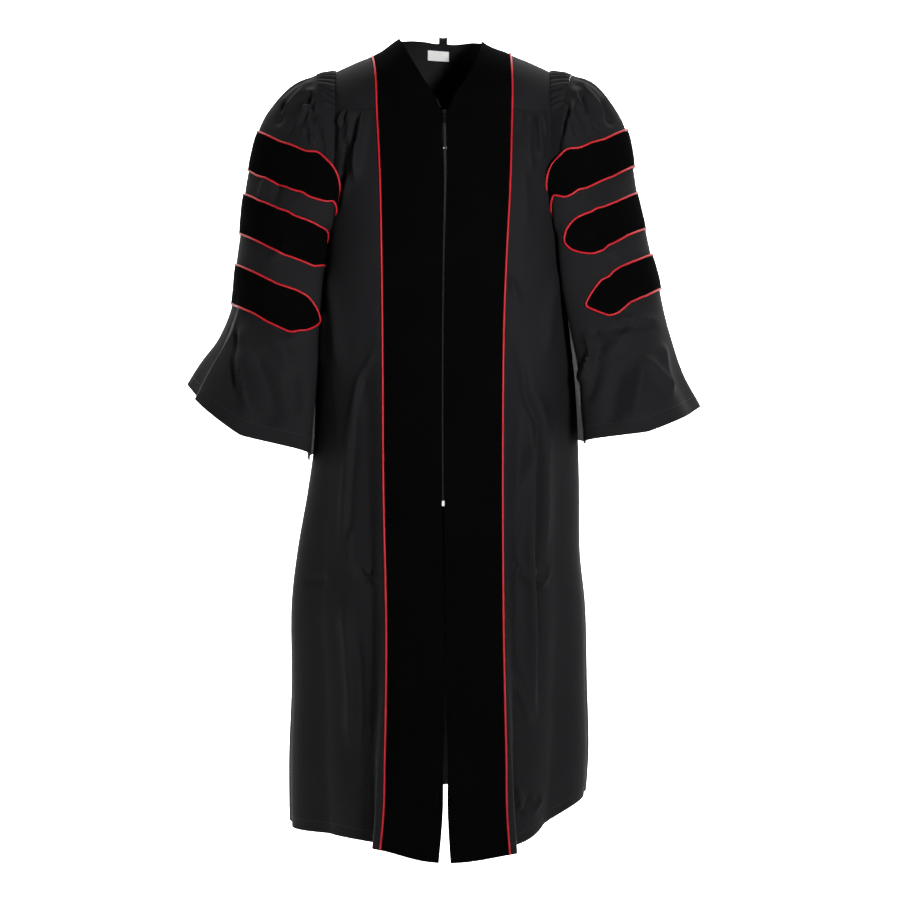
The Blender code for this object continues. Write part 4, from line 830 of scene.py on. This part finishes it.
def makeHead(word, material):
    # the fluted band that joins the yoke to the sleeve
    place = np.linspace(0.015, 14.985, sleeveCut["headAround"])[None, :]
    share = np.linspace(0, 1, sleeveCut["headRows"])[:, None]
    a, b = armholeAt(sides[word], place), plainSleeve(word, np.ones_like(place), place)
    room = seam / np.linalg.norm(b - a, axis=-1)
    at = np.clip(share, room, 1.0 - room)[..., None]
    base = a + (b - a) * at
    normal = normalOf(lambda u, v: plainSleeve(word, u, v), np.clip(share, 0.1, 0.9) + 0 * place,
                      place + 0 * share, 0.05, 0.05)
    if sides[word] > 0:
        normal = -normal
    phase = place / 15.0 * sleeveCut["flutes"] * math.pi
    phase = phase + 0.35 * np.sin(place * 1.7) + 0.25 * (share - 0.5) * np.sin(place * 2.9)
    flute = np.abs(np.sin(phase)) ** 0.7
    tall = sleeveCut["fluteHeight"] * (1.0 + 0.22 * np.sin(place * 3.7)) * (0.35 + 0.65 * smooth((1.0 - share) / 0.35))
    tall = tall * (0.55 + 0.45 * smooth(share / 0.2)) * smooth(place / 0.15) * smooth((15 - place) / 0.15)
    points = base + normal * (flute * tall)[..., None]
    centre = base - normal * 0.05
    item = makeWall(f"sleeve_flutes_{word}", points, 0.0009, material, centre,
                    sheet={"flat": (0.28, 0.034), "held": "gathered", "rests_on": ["yoke"], "area": 0.0088})
    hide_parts(f"sleeve_head_{word}")


# velvet bars: the sleeve row that each starts at, and the columns of its two tips
barCut = {"gap": 0.0009, "wall": 0.0016, "around": 110, "front": 90, "rows": 14, "puff": 0.0007}
# each bar: its first sleeve row, its back tip, and the rows of its upper and lower edge by column
bars = {
    "left": (
        (4, 25, ((8.0, 4.00, 5.00), (12.0, 4.02, 5.17), (13.6, 4.02, 5.17), (15.4, 3.90, 5.17),
                 (16.2, 3.65, 5.16), (16.45, 3.60, 5.07), (16.7, 3.63, 4.93), (17.0, 3.72, 4.62),
                 (17.6, 3.84, 4.49), (18.2, 3.94, 4.43), (20.0, 4.20, 4.20))),
        (6, 24, ((8.0, 6.00, 7.02), (15.0, 6.08, 7.08), (16.3, 6.10, 7.14), (17.0, 6.04, 7.22),
                 (17.4, 5.90, 7.02), (18.0, 6.05, 6.80), (18.8, 6.42, 6.42))),
        (8, 23, ((8.0, 8.00, 9.00), (15.2, 8.04, 9.00), (16.2, 8.07, 9.03), (16.6, 8.13, 9.18),
                 (16.9, 8.22, 9.07), (17.3, 8.50, 8.88), (17.55, 8.72, 8.72)))),
    "right": (
        (4, 25, ((8.0, 4.00, 5.00), (13.6, 3.98, 5.04), (15.4, 3.82, 4.98), (16.2, 3.42, 4.92),
                 (16.45, 3.34, 4.87), (16.7, 3.46, 4.64), (17.0, 3.64, 4.40), (18.2, 3.92, 4.34),
                 (20.0, 4.14, 4.14))),
        (6, 24, ((8.0, 5.98, 6.97), (14.8, 6.06, 6.98), (15.9, 6.04, 7.05), (16.4, 6.02, 7.14),
                 (16.6, 6.04, 7.02), (16.8, 6.15, 6.86), (16.95, 6.28, 6.68), (17.04, 6.50, 6.50))),
        (8, 24, ((8.0, 8.01, 9.00), (14.5, 8.00, 9.00), (15.6, 7.97, 8.96), (16.0, 8.02, 9.02),
                 (16.35, 8.14, 9.08), (16.55, 8.40, 8.92), (16.77, 8.72, 8.72)))),
}


def barEdges(bar, place):
    # rows of the bar's upper and lower edge, from its back tip over the top to its front tip
    first, backTip, front = bar
    columns = [backTip, backTip + 1] + [26 + at for at, _, _ in front]
    upper = [first + 0.5, first] + [row for _, row, _ in front]
    lower = [first + 0.5, first + 1] + [row for _, _, row in front]
    return np.interp(place, columns, upper), np.interp(place, columns, lower)


def barColumns(bar, inset):
    _, backTip, front = bar
    back = np.linspace(backTip + inset, 26 + 14, barCut["around"])
    return np.concatenate([back, np.linspace(26 + 14, 26 + front[-1][0] - inset, barCut["front"])[1:]])


def barPlaces(bar):
    place = barColumns(bar, 0.02)[None, :]
    upper, lower = barEdges(bar, place)
    v = np.linspace(-1, 1, barCut["rows"])[:, None]
    return upper + (lower - upper) * (v + 1) / 2, place + 0 * v, v, (lower - upper) / 2


def makeBar(word, number, material):
    row, place, v, half = barPlaces(bars[word][number - 1])
    normal = sleeveNormal(word, row, place)
    puff = barCut["puff"] * smooth((1 - np.abs(v)) / 0.5) * smooth(half / 0.3)
    lift = barCut["gap"] + barCut["wall"] + puff
    points = sleevePoint(word, row, place) + normal * lift[..., None]
    inside = points - normal * 0.05
    length, area = {1: (0.44, 0.020), 2: (0.46, 0.023), 3: (0.53, 0.027)}[number]
    item = makeWall(f"sleeve_bar_{word}_{number}", points, barCut["wall"], material, inside,
                    sheet={"flat": (0.066, length), "held": "stretched", "rests_on": [f"sleeve_{word}"],
                           "area": area})
    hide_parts(f"bar_{word}_{number}")


def makeBarPiping(word, number, material):
    # the cord lies just outside the bar's edge, round both pointed ends
    side = sides[word]
    run = barColumns(bars[word][number - 1], 0.0)
    upper, lower = barEdges(bars[word][number - 1], run)
    rows = np.concatenate([upper, lower[-2:0:-1]])
    places = np.concatenate([run, run[-2:0:-1]])
    path, normal = sleevePoint(word, rows, places), sleeveNormal(word, rows, places)
    out = piping["radius"] + seam
    ahead = np.roll(path, -1, 0) - path
    before = path - np.roll(path, 1, 0)
    a = np.cross(before, normal)
    b = np.cross(ahead, normal)
    a /= np.linalg.norm(a, axis=1, keepdims=True)
    b /= np.linalg.norm(b, axis=1, keepdims=True)
    middle = path.mean(axis=0)
    mitre = (a + b) / np.maximum(1.0 + np.sum(a * b, 1, keepdims=True), 0.7)
    top = np.arange(20, 110)
    down = np.mean(np.sum(mitre[top] * (path[top] - path[::-1][top]), 1))
    if down < 0:
        mitre = -mitre
    path = path + mitre * out + normal * (piping["radius"] + barCut["gap"])
    for _ in range(2):
        path = path * 0.5 + (np.roll(path, 1, 0) + np.roll(path, -1, 0)) * 0.25
    item = cordMesh(f"bar_cord_{word}_{number}", path, piping["radius"], material, 10, closed=True,
                    wobble=piping["wobble"], seed=50 + number + (10 if side > 0 else 0))
    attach(item, "gown")
    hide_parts(f"bar_piping_{word}_{number}")
    return path


# zip
zipCut = {"top": -0.098, "low": -0.709, "chainHalf": 0.0025, "tapeReach": 0.0130,
          "tape": 0.0009, "pitch": 0.0015, "behind": 0.0019}


def centreLine(z, reach):
    # points on the body at a distance from the centre line, with their normals
    lean = readTable(facing, "lean", z)
    angle = angleAt(lean + reach, z)
    return bodyPoint(angle, z), bodyNormal(angle, z)


def makeTape(word, material):
    side = sides[word]
    z = np.linspace(zipCut["top"], zipCut["low"], 150)[:, None]
    reach = side * np.linspace(zipCut["chainHalf"] + seam, zipCut["tapeReach"], 10)[None, :]
    point, normal = centreLine(z, reach)
    points = point - normal * zipCut["behind"]
    item = makeWall(f"zip_tape_cloth_{word}", points, zipCut["tape"], material, points * (0, 0, 1))
    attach(item, "gown")
    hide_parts(f"zip_tape_{word}")


def nodesTool(tree):
    def add(kind, links=None, **settings):
        node = tree.nodes.new(kind)
        for name, value in settings.items():
            setattr(node, name, value)
        for socket, value in (links or {}).items():
            target = node.inputs[socket]
            if isinstance(value, bpy.types.NodeSocket):
                tree.links.new(value, target)
            else:
                target.default_value = value
        return node
    return add


def makeRowTree(name, tall, wide, deep, turn=0.0, cuts=2):
    # geometry nodes: one small rounded piece repeated along a path at a given pitch
    tree = bpy.data.node_groups.new(name, "GeometryNodeTree")
    tree.interface.new_socket("Path", in_out="INPUT", socket_type="NodeSocketGeometry")
    for label, value in (("Pitch", 0.0015), ("Wide", wide), ("Tall", tall), ("Deep", deep)):
        socket = tree.interface.new_socket(label, in_out="INPUT", socket_type="NodeSocketFloat")
        socket.default_value = value
    tree.interface.new_socket("Centre", in_out="INPUT", socket_type="NodeSocketVector")
    tree.interface.new_socket("Finish", in_out="INPUT", socket_type="NodeSocketMaterial")
    tree.interface.new_socket("Seed", in_out="INPUT", socket_type="NodeSocketInt").default_value = 4
    tree.interface.new_socket("Row", in_out="OUTPUT", socket_type="NodeSocketGeometry")
    add = nodesTool(tree)
    given = add("NodeGroupInput").outputs
    size = add("ShaderNodeCombineXYZ", {"X": given["Deep"], "Y": given["Wide"], "Z": given["Tall"]})
    cube = add("GeometryNodeMeshCube", {"Size": size.outputs[0], "Vertices X": cuts, "Vertices Y": 2,
                                        "Vertices Z": 2})
    round1 = add("GeometryNodeSubdivisionSurface", {"Mesh": cube.outputs["Mesh"], "Level": 1})
    resampled = add("GeometryNodeResampleCurve", {"Curve": given["Path"], "Length": given["Pitch"]},
                    mode="LENGTH")
    here = add("GeometryNodeInputPosition").outputs[0]
    away = add("ShaderNodeVectorMath", {0: here, 1: given["Centre"]}, operation="SUBTRACT")
    level = add("ShaderNodeVectorMath", {0: away.outputs[0], 1: (1.0, 1.0, 0.0)}, operation="MULTIPLY")
    faced = add("GeometryNodeSetCurveNormal", {"Curve": resampled.outputs[0], "Normal": level.outputs[0]},
                mode="FREE")
    points = add("GeometryNodeCurveToPoints", {"Curve": faced.outputs[0]}, mode="EVALUATED")
    odd = add("FunctionNodeRandomValue", {"Seed": given["Seed"], 2: -0.07, 3: 0.07})
    swing = add("ShaderNodeMath", {0: odd.outputs[1], 1: turn}, operation="ADD")
    spin = add("ShaderNodeCombineXYZ", {"X": swing.outputs[0]})
    placed = add("GeometryNodeInstanceOnPoints", {"Points": points.outputs["Points"],
                                                  "Instance": round1.outputs[0],
                                                  "Rotation": points.outputs["Rotation"]})
    turned = add("GeometryNodeRotateInstances", {"Instances": placed.outputs[0],
                                                 "Rotation": spin.outputs[0]})
    real = add("GeometryNodeRealizeInstances", {"Geometry": turned.outputs[0]})
    done = add("GeometryNodeSetMaterial", {"Geometry": real.outputs[0], "Material": given["Finish"]})
    out = add("NodeGroupOutput")
    tree.links.new(done.outputs[0], out.inputs[0])
    return tree


def runRow(name, tree, path, material, values):
    # lays the tree's pieces along a path and keeps the result as a plain mesh
    curve = bpy.data.curves.new(name, "CURVE")
    curve.dimensions = "3D"
    spline = curve.splines.new("POLY")
    spline.points.add(len(path) - 1)
    for control, point in zip(spline.points, path):
        control.co = (*point, 1.0)
    holder = bpy.data.objects.new(f"{name} path", curve)
    bpy.context.scene.collection.objects.link(holder)
    change = holder.modifiers.new("row", "NODES")
    change.node_group = tree
    for socket in tree.interface.items_tree:
        if socket.item_type == "SOCKET" and socket.in_out == "INPUT":
            if socket.name in values:
                change[socket.identifier] = values[socket.name]
            elif socket.name == "Finish":
                change[socket.identifier] = material
    bpy.context.view_layer.update()
    graph = bpy.context.evaluated_depsgraph_get()
    mesh = bpy.data.meshes.new_from_object(holder.evaluated_get(graph), depsgraph=graph)
    holder.modifiers.remove(change)
    bpy.data.objects.remove(holder)
    mesh.name = name
    mesh.shade_smooth()
    item = bpy.data.objects.new(name, mesh)
    bpy.context.scene.collection.objects.link(item)
    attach(item, "gown")
    print(name, len(mesh.polygons), "faces")
    return item


class Value:
    # a shader socket that takes Python's own arithmetic
    def __init__(self, tree, socket):
        self.tree = tree
        self.socket = socket

    def combine(self, other, operation, swapped=False):
        node = self.tree.nodes.new("ShaderNodeMath")
        node.operation = operation
        pair = (other, self) if swapped else (self, other)
        for k, item in enumerate(pair):
            if isinstance(item, Value):
                self.tree.links.new(item.socket, node.inputs[k])
            else:
                node.inputs[k].default_value = item
        return Value(self.tree, node.outputs[0])

    def __add__(self, other): return self.combine(other, "ADD")
    def __radd__(self, other): return self.combine(other, "ADD", True)
    def __sub__(self, other): return self.combine(other, "SUBTRACT")
    def __rsub__(self, other): return self.combine(other, "SUBTRACT", True)
    def __mul__(self, other): return self.combine(other, "MULTIPLY")
    def __rmul__(self, other): return self.combine(other, "MULTIPLY", True)
    def __pow__(self, other): return self.combine(other, "POWER")


class Finish:
    # a material with its node tree, and one method for every other node
    def __init__(self, name, roughness, sheen=0.0, sheenRough=0.3, sheenTint=(1, 1, 1), metallic=0.0,
                 specular=0.5, coat=0.0, coatRough=0.2, ior=1.45):
        self.material = bpy.data.materials.new(name)
        self.material.use_nodes = True
        self.tree = self.material.node_tree
        self.shader = self.tree.nodes["Principled BSDF"]
        given = {"Roughness": roughness, "IOR": ior, "Sheen Weight": sheen, "Sheen Roughness": sheenRough,
                 "Sheen Tint": (*sheenTint, 1.0), "Metallic": metallic, "Specular IOR Level": specular,
                 "Coat Weight": coat, "Coat Roughness": coatRough}
        for socket, value in given.items():
            self.shader.inputs[socket].default_value = value

    def node(self, kind, settings=None, **sockets):
        node = self.tree.nodes.new(kind)
        for name, value in (settings or {}).items():
            if name == "stops":
                ramp = node.color_ramp
                ramp.elements[0].position, ramp.elements[0].color = value[0]
                ramp.elements[1].position, ramp.elements[1].color = value[-1]
                for place, colour in value[1:-1]:
                    ramp.elements.new(place).color = colour
            else:
                setattr(node, name, value)
        for name, value in sockets.items():
            target = node.inputs[int(name[1:])] if name[0] == "i" and name[1:].isdigit() else node.inputs[name]
            if isinstance(value, Value):
                self.tree.links.new(value.socket, target)
            elif isinstance(value, bpy.types.NodeSocket):
                self.tree.links.new(value, target)
            else:
                target.default_value = value
        return node

    def coordinates(self, kind="Object", scale=(1.0, 1.0, 1.0)):
        source = self.node("ShaderNodeTexCoord").outputs[kind]
        return self.node("ShaderNodeMapping", Vector=source, Scale=scale).outputs[0]

    def noise(self, where, scale, detail=2.0, rough=0.5):
        node = self.node("ShaderNodeTexNoise", Vector=where, Scale=scale, Detail=detail, Roughness=rough)
        return Value(self.tree, node.outputs["Fac"])

    def colours(self, share, dark, light):
        mix = self.node("ShaderNodeMix", {"data_type": "RGBA"})
        self.tree.links.new(share.socket, mix.inputs[0])
        mix.inputs[6].default_value = (*dark, 1.0)
        mix.inputs[7].default_value = (*light, 1.0)
        self.tree.links.new(mix.outputs[2], self.shader.inputs["Base Color"])

    def roughness(self, value):
        self.tree.links.new(value.socket, self.shader.inputs["Roughness"])

    def bump(self, height, strength, distance):
        node = self.node("ShaderNodeBump", Height=height, Strength=strength, Distance=distance)
        self.tree.links.new(node.outputs[0], self.shader.inputs["Normal"])


def crepeFinish():
    # matt crepe: fine pebble, faint cross ribs, slow changes in tone
    crepe = Finish("black crepe", 0.72, sheen=0.004, sheenRough=0.45, sheenTint=(0.80, 0.82, 0.90), specular=0.5,
                   ior=1.16)
    where = crepe.coordinates()
    pebble = crepe.noise(where, 1500.0, 3.0, 0.6)
    slub = crepe.noise(crepe.coordinates(scale=(1.0, 1.0, 0.25)), 260.0, 2.0)
    tone = crepe.noise(where, 7.0, 3.0)
    crepe.colours(tone * 0.7 + pebble * 0.3, (0.0058, 0.0058, 0.0067), (0.0118, 0.0118, 0.0130))
    crepe.roughness(0.62 + 0.16 * pebble + 0.06 * tone)
    crepe.bump(pebble * 0.65 + slub * 0.35, 0.35, 0.0006)
    return crepe.material


def velvetFinish():
    # dense pile that takes the light: nap brushed down, a little crushed in patches
    velvet = Finish("black velvet", 0.92, sheen=0.001, sheenRough=0.28, sheenTint=(0.6, 0.6, 0.65),
                    specular=0.5, ior=1.06)
    where = velvet.coordinates(scale=(1.0, 1.0, 0.35))
    pile = velvet.noise(where, 2100.0, 2.0, 0.7)
    crush = velvet.noise(velvet.coordinates(scale=(1.0, 1.0, 0.5)), 22.0, 4.0, 0.55)
    velvet.colours(crush * 0.75 + pile * 0.25, (0.0006, 0.0006, 0.0006), (0.0022, 0.0022, 0.0022))
    velvet.roughness(0.84 + 0.14 * crush)
    velvet.bump(pile * 0.5 + crush * 0.5, 0.45, 0.0009)
    return velvet.material


def pipingFinish():
    # bias-cut satin over a cord: puckers break up its highlight
    satin = Finish("red satin", 0.3, sheen=0.02, specular=0.25, coat=0.03, coatRough=0.3)
    along = satin.coordinates("UV", (1.0, 1.0, 1.0))
    pucker = satin.noise(along, 330.0, 3.0, 0.6)
    thread = satin.node("ShaderNodeTexWave", {"wave_type": "BANDS", "bands_direction": "DIAGONAL"},
                        Vector=along, Scale=420.0, Distortion=1.2)
    weave = Value(satin.tree, thread.outputs["Fac"])
    satin.colours(pucker * 0.8 + weave * 0.2, (0.26, 0.004, 0.008), (0.66, 0.016, 0.028))
    satin.roughness(0.24 + 0.34 * pucker)
    satin.bump(pucker * 0.8 + weave * 0.2, 0.5, 0.0005)
    return satin.material


def tapeFinish():
    tape = Finish("zip tape", 0.78, sheen=0.15, specular=0.3)
    where = tape.coordinates("UV")
    rib = Value(tape.tree, tape.node("ShaderNodeTexWave", {"bands_direction": "X"}, Vector=where,
                                     Scale=520.0, Distortion=0.6).outputs["Fac"])
    fuzz = tape.noise(tape.coordinates(), 900.0, 2.0)
    tape.colours(rib * 0.6 + fuzz * 0.4, (0.005, 0.005, 0.006), (0.013, 0.013, 0.014))
    tape.roughness(0.66 + 0.2 * fuzz)
    tape.bump(rib, 0.5, 0.0003)
    return tape.material


def coilFinish():
    coil = Finish("zip coil", 0.34, specular=0.5)
    wear = coil.noise(coil.coordinates(), 420.0, 3.0)
    coil.colours(wear, (0.008, 0.008, 0.009), (0.045, 0.045, 0.047))
    coil.roughness(0.28 + 0.24 * wear)
    coil.bump(wear, 0.2, 0.0002)
    return coil.material


def metalFinish(name, dark, light):
    # plated zinc with hairline wear
    metal = Finish(name, 0.24, metallic=1.0)
    hair = metal.noise(metal.coordinates(scale=(1.0, 1.0, 0.08)), 2600.0, 3.0)
    cloud = metal.noise(metal.coordinates(), 160.0, 3.0)
    metal.colours(cloud, dark, light)
    metal.roughness(0.30 + 0.20 * hair + 0.08 * cloud)
    metal.bump(hair, 0.12, 0.0001)
    return metal.material


def labelFinish():
    label = Finish("label satin", 0.42, sheen=0.1, specular=0.5)
    where = label.coordinates()
    weave = label.noise(label.coordinates(scale=(1.0, 0.3, 0.3)), 1800.0, 2.0)
    fade = label.noise(where, 60.0, 2.0)
    label.colours(fade * 0.6 + weave * 0.4, (0.64, 0.64, 0.63), (0.78, 0.78, 0.77))
    label.roughness(0.34 + 0.16 * weave)
    label.bump(weave, 0.3, 0.0002)
    return label.material


def threadFinish(name, dark, light):
    thread = Finish(name, 0.55, sheen=0.3, specular=0.4)
    twist = thread.noise(thread.coordinates(), 1700.0, 2.0)
    thread.colours(twist, dark, light)
    thread.roughness(0.45 + 0.2 * twist)
    thread.bump(twist, 0.4, 0.0002)
    return thread.material


crepe, velvet, satin = crepeFinish(), velvetFinish(), pipingFinish()
tape, coil, label = tapeFinish(), coilFinish(), labelFinish()
zinc = metalFinish("polished zinc", (0.46, 0.46, 0.48), (0.80, 0.80, 0.82))
gunmetal = metalFinish("gunmetal plate", (0.006, 0.006, 0.0065), (0.030, 0.030, 0.032))
blackThread = threadFinish("black thread", (0.008, 0.008, 0.009), (0.022, 0.022, 0.024))
whiteThread = threadFinish("white thread", (0.55, 0.54, 0.52), (0.82, 0.81, 0.79))
print("finishes made")

frontPoints = {word: makeFront(word, crepe) for word in sides}
backPoints = makeBack(crepe)
print("body made")
velvetPoints = {word: makeVelvet(word, velvet) for word in sides}
yokePoints = makeYoke(crepe)
for word in sides:
    makePiping(word, satin)
print("velvet, yoke and piping made")
sleevePoints = {word: makeSleeve(word, crepe) for word in sides}
for word in sides:
    makeHead(word, crepe)
    for number in (1, 2, 3):
        makeBar(word, number, velvet)
        makeBarPiping(word, number, satin)
print("sleeves and bars made")

# zip: tapes, interlocked coil and top end; the slider, tab and bottom stop stay the imported parts
for word in sides:
    makeTape(word, tape)
toothTree = makeRowTree("coil row", 0.0009, 0.0024, 0.0013)
stitchTree = makeRowTree("stitch row", 0.0024, 0.00045, 0.00040, cuts=3)
for word, shift in (("left", 0.0), ("right", 0.00075)):
    z = np.linspace(zipCut["top"] - shift, zipCut["low"] + 0.001, 500)
    point, normal = centreLine(z, sides[word] * 0.00115)
    row = runRow(f"zip_teeth_{word}", toothTree, point - normal * (zipCut["behind"] + 0.0005), coil,
                 {"Pitch": zipCut["pitch"], "Seed": 3})
z = np.linspace(zipCut["top"], zipCut["low"], 200)[:, None]
point, normal = centreLine(z, np.linspace(-0.0012, 0.0012, 5)[None, :])
core = makeWall("zip_core", point - normal * 0.0026, 0.0009, tape, point * (0, 0, 1))
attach(core, "gown")
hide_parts("zip_chain")

# the left tape's end above the slider, with its last teeth
endCut = {"rows": (0.55, 0.05), "aside": 0.0012, "stop": (0.0022, 0.0016, 0.0042)}
row = np.linspace(*endCut["rows"], 24)
x, turn = collarPlace(-1.0, row, "velvet", 0.0)
endPath = capPoint(x + endCut["aside"], turn) - capNormal(x, turn) * 0.0012
endRow = runRow("zip_end_teeth", toothTree, endPath, coil, {"Pitch": 0.0014, "Seed": 6})

# hang loop: a tape over the neck edge, its path along the neck's slope and out of it
loopCut = {"half": 0.0070, "wall": 0.0010}
loopSteps = np.array([
    (0.0080, -0.0034), (0.0030, -0.0034), (-0.0020, -0.0046), (-0.0048, -0.0050), (-0.0068, -0.0034),
    (-0.0078, 0.0000), (-0.0068, 0.0036), (-0.0048, 0.0050), (-0.0020, 0.0042), (0.0030, 0.0015),
    (0.0120, 0.0015)])
neckTurn = collar["inTurn"][-1]
neckEdge, neckNormal = capPoint(0.0, neckTurn), capNormal(0.0, neckTurn)
neckDown = capPoint(0.0, neckTurn + 1.0) - neckEdge
neckDown = neckDown / np.linalg.norm(neckDown)
steps = {"key": np.arange(11.0), "along": loopSteps[:, 0], "out": loopSteps[:, 1]}
fine = np.linspace(0, 10, 70)
path = (neckEdge + neckDown * readTable(steps, "along", fine, "key")[:, None]
        + neckNormal * readTable(steps, "out", fine, "key")[:, None])
run = np.gradient(path, axis=0)
outside = np.cross(run, (1.0, 0.0, 0.0))
outside /= np.linalg.norm(outside, axis=1, keepdims=True)
across = np.linspace(-1, 1, 13)[None, :, None]
high = smooth((-0.002 - readTable(steps, "along", fine, "key")) / 0.008)[:, None, None]
cupped = 0.00035 * (1 - np.abs(across) ** 3) - 0.0010 * high * across ** 2
loopPoints = path[:, None] + across * np.array((loopCut["half"], 0, 0)) + outside[:, None] * (cupped - 0.0001)
loop = makeWall("hang_loop_tape", loopPoints, loopCut["wall"], crepe, loopPoints - outside[:, None] * 0.05)
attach(loop, "gown")
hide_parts("hang_loop")

# neck lining: crepe behind the velvet round the back neck
liningCut = {"behind": 0.0018, "wall": 0.0005, "from": 4.6, "reach": 1.35}
for word, side in sides.items():
    row = np.linspace(11, liningCut["from"], 80)[:, None]
    x, turn = collarPlace(side, row, "velvet", np.linspace(0.02, liningCut["reach"], 30)[None, :])
    points = capPoint(x, turn) - capNormal(x, turn) * liningCut["behind"]
    lining = makeWall(f"neck_lining_{word}", points, liningCut["wall"], crepe, points * 0 + (0, 0, -0.2),
                      sheet={"flat": (0.090, 0.195), "held": "stretched", "rests_on": ["velvet_left"],
                             "area": 0.0122})

# label, left blank, stitched at its ends
labelCut = {"x": -0.008, "half": 0.018, "high": (0.0376, 0.0221), "behind": 0.0024, "wall": 0.0007}
high = np.linspace(*labelCut["high"], 12)[:, None]
x = labelCut["x"] + labelCut["half"] * np.linspace(-1, 1, 30)[None, :]
ends = []
for edge in (x[:, :1], x[:, -1:]):
    rise = readTable(crest, "z", np.abs(edge), "x") - bodyShape["yokeBack"]
    turns = 180.0 - np.degrees(np.arcsin((high - bodyShape["yokeBack"]) / rise))
    ends.append(capPoint(edge + 0 * turns, turns) - capNormal(edge + 0 * turns, turns) * labelCut["behind"])
share = np.linspace(0, 1, 30)[None, :, None]
points = ends[0] + (ends[1] - ends[0]) * share
points[..., 1] -= 0.0004 * np.sin(np.linspace(0, math.pi, 12))[:, None] * (1 + 0.5 * np.sin(x * 300))
card = makeWall("label_card", points, labelCut["wall"], label, points * 0 + (0, 0, -0.2),
                sheet={"flat": (0.036, 0.017), "held": "stretched", "rests_on": ["velvet_left"]})
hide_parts("label")
for tag, share in (("left", 1), ("right", 28)):
    line = points[1:-1, share] - np.array((0.0, 0.0002, 0.0))
    seamLine = runRow(f"label_stitches_{tag}", stitchTree, line, whiteThread,
                      {"Pitch": 0.0022, "Tall": 0.0015, "Centre": (0.0, -0.5, 0.0)})
print("loop, lining and label made")

# hem and cuff stitches
def offsetRow(points, row, centre, lift=0.0002):
    line = points[row]
    away = line - centre
    away[..., 2] = 0
    return line + away / np.linalg.norm(away, axis=-1, keepdims=True) * lift


for word in sides:
    hemLine = offsetRow(frontPoints[word], -4, (0, 0, 0))
    item = runRow(f"hem_stitches_{word}", stitchTree, hemLine, blackThread, {"Pitch": 0.0034})
    cuff = sleevePoints[word]
    line = offsetRow(cuff, -6, cuff[-6].mean(axis=0))
    item = runRow(f"cuff_stitches_{word}", stitchTree, np.concatenate([line, line[:1]]), blackThread,
                  {"Pitch": 0.0034, "Centre": tuple(cuff[-6].mean(axis=0))})
item = runRow("hem_stitches_back", stitchTree, offsetRow(backPoints, -4, (0, 0, 0)), blackThread,
              {"Pitch": 0.0034})
print("stitches made")

for name in ("slider", "pull_tab", "bottom_stop"):
    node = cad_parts[name]
    node.data.materials.clear()
    node.data.materials.append(zinc if name == "bottom_stop" else gunmetal)

# studio: pale floor and sweep, soft lights from the front and the right; the sweep's far part is a painted glow
# standing in for backdrop light
studio = {"floor": -1.52, "camera": (0.0115, -3.2, -0.630), "lens": 78.05}
sweep = [(-6.0, 0.0)] + [(2.2 + 1.2 * math.sin(t), 1.2 - 1.2 * math.cos(t)) for t in np.linspace(0, math.pi / 2, 14)]
sweep.append((3.4, 6.0))
points = [(x, y, z + studio["floor"]) for y, z in sweep for x in (-7.0, 7.0)]
faces = [(2 * k, 2 * k + 1, 2 * k + 3, 2 * k + 2) for k in range(len(sweep) - 1)]
paper = Finish("studio paper", 0.9, specular=0.1)
paper.shader.inputs["Base Color"].default_value = (0.92, 0.92, 0.92, 1.0)
# painted glow: the paper's emission rises from none at y 0.3 to full white at y 1.0, so the sweep behind the gown
# glows like a lit backdrop and the floor under and in front of it does not
across = paper.node("ShaderNodeSeparateXYZ", Vector=paper.coordinates()).outputs["Y"]
glow = paper.node("ShaderNodeMapRange", Value=across, **{"From Min": 0.3, "From Max": 1.0}).outputs["Result"]
lit = paper.node("ShaderNodeMix", {"data_type": "RGBA"}, i0=glow, i6=(0.0, 0.0, 0.0, 1.0), i7=(1.0, 1.0, 1.0, 1.0))
paper.tree.links.new(lit.outputs[2], paper.shader.inputs["Emission Color"])
paper.shader.inputs["Emission Strength"].default_value = 0.75
floor = meshFrom("studio_sweep", points, faces, paper.material)


def addLight(name, where, target, size, power, spread=180):
    light = bpy.data.lights.new(name, "AREA")
    light.shape = "RECTANGLE"
    light.size, light.size_y = size
    light.energy = power
    light.spread = math.radians(spread)
    item = bpy.data.objects.new(name, light)
    item.location = where
    aim = np.array(target) - np.array(where)
    item.rotation_euler = (math.atan2(np.hypot(aim[0], aim[1]), -aim[2]) , 0, math.atan2(-aim[0], aim[1]))
    bpy.context.scene.collection.objects.link(item)


addLight("key", (1.0, -2.5, -0.2), (0, 0, -0.2), (0.35, 0.35), 21, 95)
addLight("fill", (-2.1, -1.9, 0.1), (0, 0, -0.3), (0.6, 0.6), 4, 120)
addLight("top", (0.3, -0.4, 2.2), (0, 0, -0.2), (1.2, 0.8), 1)
addLight("backdrop", (0, 0.9, 1.8), (0, 3.3, -0.6), (4.5, 1.2), 320)
world = bpy.data.worlds.new("studio air")
world.use_nodes = True
world.node_tree.nodes["Background"].inputs["Color"].default_value = (1, 1, 1, 1)
world.node_tree.nodes["Background"].inputs["Strength"].default_value = 0.05
bpy.context.scene.world = world
bpy.context.scene.view_settings.view_transform = "Standard"

camera = bpy.data.cameras.new("camera")
camera.lens = studio["lens"]
camera.sensor_width = 36.0
camera.clip_end = 60.0
holder = bpy.data.objects.new("camera", camera)
holder.location = studio["camera"]
holder.rotation_euler = (math.radians(90), 0, 0)
bpy.context.scene.collection.objects.link(holder)
bpy.context.scene.camera = holder

print("gown finished")
